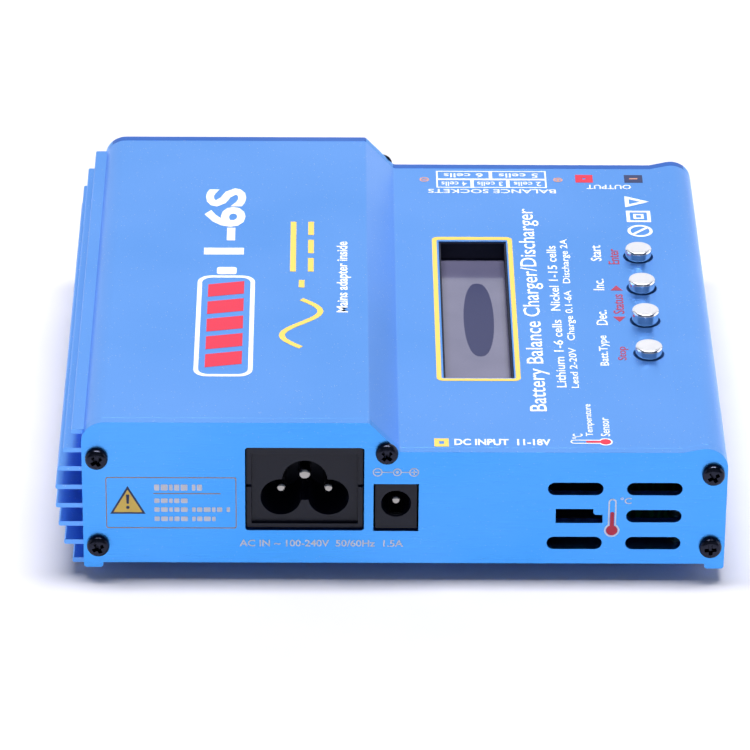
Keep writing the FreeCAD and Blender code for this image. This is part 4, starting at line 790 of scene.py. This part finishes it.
def print_socket_table():
    """The balance sockets' table, read from the rear, between a minus and a plus, and the outputs' marks."""
    tall, insets = 4.3, (0.02, 0.4)
    cells = [tuple(rectangle(u0 + inset, u1 - inset, v + inset, v + tall - inset) for inset in insets)
             for _, (u0, u1), v, _ in TABLE_CELLS]
    print_shapes("socket_table", "low", ink_white, cells)
    for number, _, v, (u0, u1) in TABLE_CELLS:
        area = (u0, u1, v + 1.0, v + 3.1)
        print_words(f"socket_cells_{number}", f"{number} cells", "low", ink_white, area, "west")
    print_words("caption_sockets", "BALANCE SOCKETS", "low", ink_white, (75.8, 105.7, 120.3, 122.3), "west")

    stroke = 0.35
    signs = [ring(75.0, 127.2, 1.1, stroke), band([(74.4, 127.2), (75.6, 127.2)], stroke),
             ring(106.4, 127.2, 1.1, stroke), plus_sign(106.4, 127.2, 1.2, stroke)]
    print_shapes("table_signs", "low", ink_orange, signs)
    red_mark = rectangle(110.5, 114.6, 125.9, 129.8), rectangle(112.2, 112.9, 127.5, 128.2)
    print_shapes("output_red_print", "low", ink_red, [red_mark])
    print_shapes("output_dark_print", "low", ink_dark, [rectangle(122.0, 126.3, 125.9, 129.8)])
    print_shapes("output_minus", "low", ink_orange, [rectangle(123.2, 125.1, 127.6, 128.1)], level=1)
    print_words("caption_output", "OUTPUT", "low", ink_white, (113.0, 123.4, 122.6, 124.7), "west")


def print_plain_marks():
    """Three plain geometric signs: a ring with a slash, two squares in one another, and a triangle."""
    marks = [
        ring(124.4, 101.6, radius=2.9, width=0.7),
        (rectangle(121.6, 127.2, 106.0, 111.6), rectangle(122.4, 126.4, 106.8, 110.8)),
        (rectangle(123.2, 125.6, 107.6, 110.0), rectangle(123.8, 125.0, 108.2, 109.4)),
        ([(121.6, 113.4), (127.2, 116.2), (121.6, 119.0)], [(122.5, 114.9), (125.2, 116.2), (122.5, 117.5)]),
    ]
    print_shapes("plain_marks", "low", ink_white, marks)
    slash = band([(122.6, 99.8), (126.2, 103.4)], width=0.7)
    print_shapes("plain_mark_slash", "low", ink_white, [slash], level=0.2)


def print_front():
    """The mains end: rating line, a plain notice, polarity signs and a thermometer by the sensor's port."""
    rating = "AC IN ~ 100-240V  50/60Hz  1.5A"
    print_words("rating_mains", rating, "front", ink_cream, (33.6, 68.8, 4.1, 5.8), "east", 0.015)
    print_notice()
    print_polarity_signs()
    print_thermometer("front", (113.65, 8.4), size=1.0, tall=7.9, level=4.6)
    print_words("degrees_front", "°C", "front", ink_cream, (115.3, 117.7, 15.0, 16.6), "east")


# A plain notice's lines of stand-in words: the line's place in v, its bars' height, and its end in u.
NOTICE_LINES = ((18.0, 1.5, 26.0), (14.9, 1.15, 23.6), (12.7, 1.15, 31.6), (10.4, 1.15, 28.6))


def word_bars(start, lines):
    """Rows of short bars with gaps between them, wider after every fifth, that stand for words."""
    letter_gap, word_gap, word_length = 0.32, 0.95, 5
    bars = []
    for v, tall, end in lines:
        u, n = start, 0
        while u < end - 0.5:
            n += 1
            width = min(0.75 + 0.35 * (n * 7 % 3), end - u)
            bars.append(soft_rectangle(u, u + width, v, v + tall, radius=0.2, steps=2))
            u += width + (letter_gap if n % word_length else word_gap)
    return bars


def print_notice():
    """A framed notice that says nothing: a triangle with a stroke and a dot, a rule and rows of bars."""
    edge = soft_rectangle(5.0, 33.0, 8.6, 21.3, radius=0.5), soft_rectangle(5.2, 32.8, 8.8, 21.1, radius=0.4)
    print_shapes("notice_frame", "front", ink_brown, [edge])
    outer, inner = [(5.9, 12.2), (13.5, 12.2), (9.7, 19.1)], [(6.6, 12.6), (12.8, 12.6), (9.7, 18.2)]
    print_shapes("notice_triangle_edge", "front", ink_dark, [(outer, inner)])
    print_shapes("notice_triangle", "front", ink_gold, [inner])
    stroke, dot = [(9.45, 14.7), (9.95, 14.7), (10.05, 17.0), (9.35, 17.0)], oval(9.7, 13.8, 0.38, 0.38)
    print_shapes("notice_stroke", "front", ink_dark, [stroke, dot], level=1)
    print_shapes("notice_rule", "front", ink_brown, [rectangle(15.2, 29.6, 17.15, 17.35)])
    print_shapes("notice_bars", "front", ink_cream, word_bars(15.4, NOTICE_LINES))


def print_polarity_signs():
    """A minus and a plus in rings, joined by lines to a dot in a ring that stands for the plug."""
    v, stroke = 22.7, 0.25
    signs = [ring(63.2, v, 1.05, stroke), ring(71.0, v, 1.05, stroke), ring(67.4, v, 0.95, stroke),
             oval(67.4, v, 0.35, 0.35), rectangle(62.6, 63.8, 22.58, 22.82), plus_sign(71.0, v, 1.2, stroke),
             rectangle(64.25, 66.45, 22.6, 22.8), rectangle(68.35, 69.95, 22.6, 22.8)]
    print_shapes("polarity_signs", "front", ink_cream, signs)


def print_painted_reflection():
    """A dark oval painted on the display's glass, a little to the right of the glass's middle: a painted
    reflection.
    """
    middle = (GLASS_LOW.x + GLASS_HIGH.x) / 2 / MM - LEFT / MM
    mark = oval(middle + 0.9, 67.6, radius_u=3.4, radius_v=17.0, power=0.8)
    print_shapes("display_painted_reflection", "glass", painted_reflection, [mark])


# --- studio ---------------------------------------------------------------------------------------------

CAMERA_YAW, CAMERA_PITCH, CAMERA_ROLL = 0.6292, 29.3644, 0.4943  # degrees
CAMERA_PLACE = (52.1, -942.2, 576.7)  # millimetres from the case's lower front left corner
CAMERA_LENS, CAMERA_SENSOR = 245.54, 36


def add_camera():
    yaw, pitch, roll = (math.radians(a) for a in (CAMERA_YAW, CAMERA_PITCH, CAMERA_ROLL))
    forward = Vector((math.sin(yaw) * math.cos(pitch), math.cos(yaw) * math.cos(pitch), -math.sin(pitch)))
    right = Vector((math.cos(yaw), -math.sin(yaw), 0))
    up = right.cross(forward)
    side = right * math.cos(roll) + up * math.sin(roll)
    top = up * math.cos(roll) - right * math.sin(roll)
    data = bpy.data.cameras.new("camera")
    data.sensor_width = CAMERA_SENSOR
    data.lens = CAMERA_LENS
    data.clip_start, data.clip_end = 0.05, 20
    camera = bpy.data.objects.new("camera", data)
    matrix = Matrix((side, top, -forward)).transposed().to_4x4()
    x, y, z = CAMERA_PLACE
    matrix.translation = (LEFT + x * MM, FRONT + y * MM, UNDERSIDE + z * MM)
    camera.matrix_world = matrix
    bpy.context.scene.collection.objects.link(camera)
    bpy.context.scene.camera = camera


def add_light(name, place, aim, size, watts):
    """A rectangular soft light."""
    data = bpy.data.lights.new(name, "AREA")
    data.shape = "RECTANGLE"
    data.size, data.size_y = size
    data.energy = watts
    light = bpy.data.objects.new(name, data)
    light.location = place
    light.rotation_euler = (Vector(aim) - Vector(place)).to_track_quat("-Z", "Y").to_euler()
    bpy.context.scene.collection.objects.link(light)


def add_studio():
    """A faint blue surround, four soft walls of light and a narrow light overhead."""
    world = bpy.data.worlds.new("studio")
    world.use_nodes = True
    background = world.node_tree.nodes["Background"]
    background.inputs["Color"].default_value = (0.35, 0.55, 1.0, 1)
    background.inputs["Strength"].default_value = 0.14
    bpy.context.scene.world = world
    bpy.context.scene.view_settings.view_transform = "Standard"
    add_light("back_wall", (0.0, 1.7, 0.75), aim=(0, 0, 0.2), size=(4.0, 1.7), watts=18.5)
    add_light("front_wall", (0.0, -1.8, 0.8), aim=(0, 0, 0.2), size=(3.0, 1.4), watts=2)
    add_light("right_wall", (1.5, 0.2, 0.45), aim=(0, 0, 0.1), size=(1.6, 0.9), watts=6)
    add_light("left_wall", (-1.5, 0.1, 0.45), aim=(0, 0, 0.1), size=(1.6, 0.9), watts=3)
    add_light("overhead", (0.0, 0.02, 1.3), aim=(0, 0, 0), size=(0.9, 0.24), watts=21)


def add_floor():
    """A wide pale floor with very slight changes of tone."""
    bpy.ops.mesh.primitive_plane_add(size=8, location=(0, 0, 0))
    floor = bpy.context.object
    floor.name = "floor"
    shade = Shade("floor_white", roughness=0.7)
    grain = shade.noise(30, detail=3)
    shade.set("Base Color", shade.mix(shade.spread(grain, 0, 1), (0.79, 0.775, 0.82), (0.82, 0.80, 0.85)))
    dress(floor, shade.material)


add_camera()
add_studio()
add_floor()
finish_nodes()
make_plate_screws()
make_keys()
print_painted_reflection()
print_high_top()
print_low_top()
print_front()
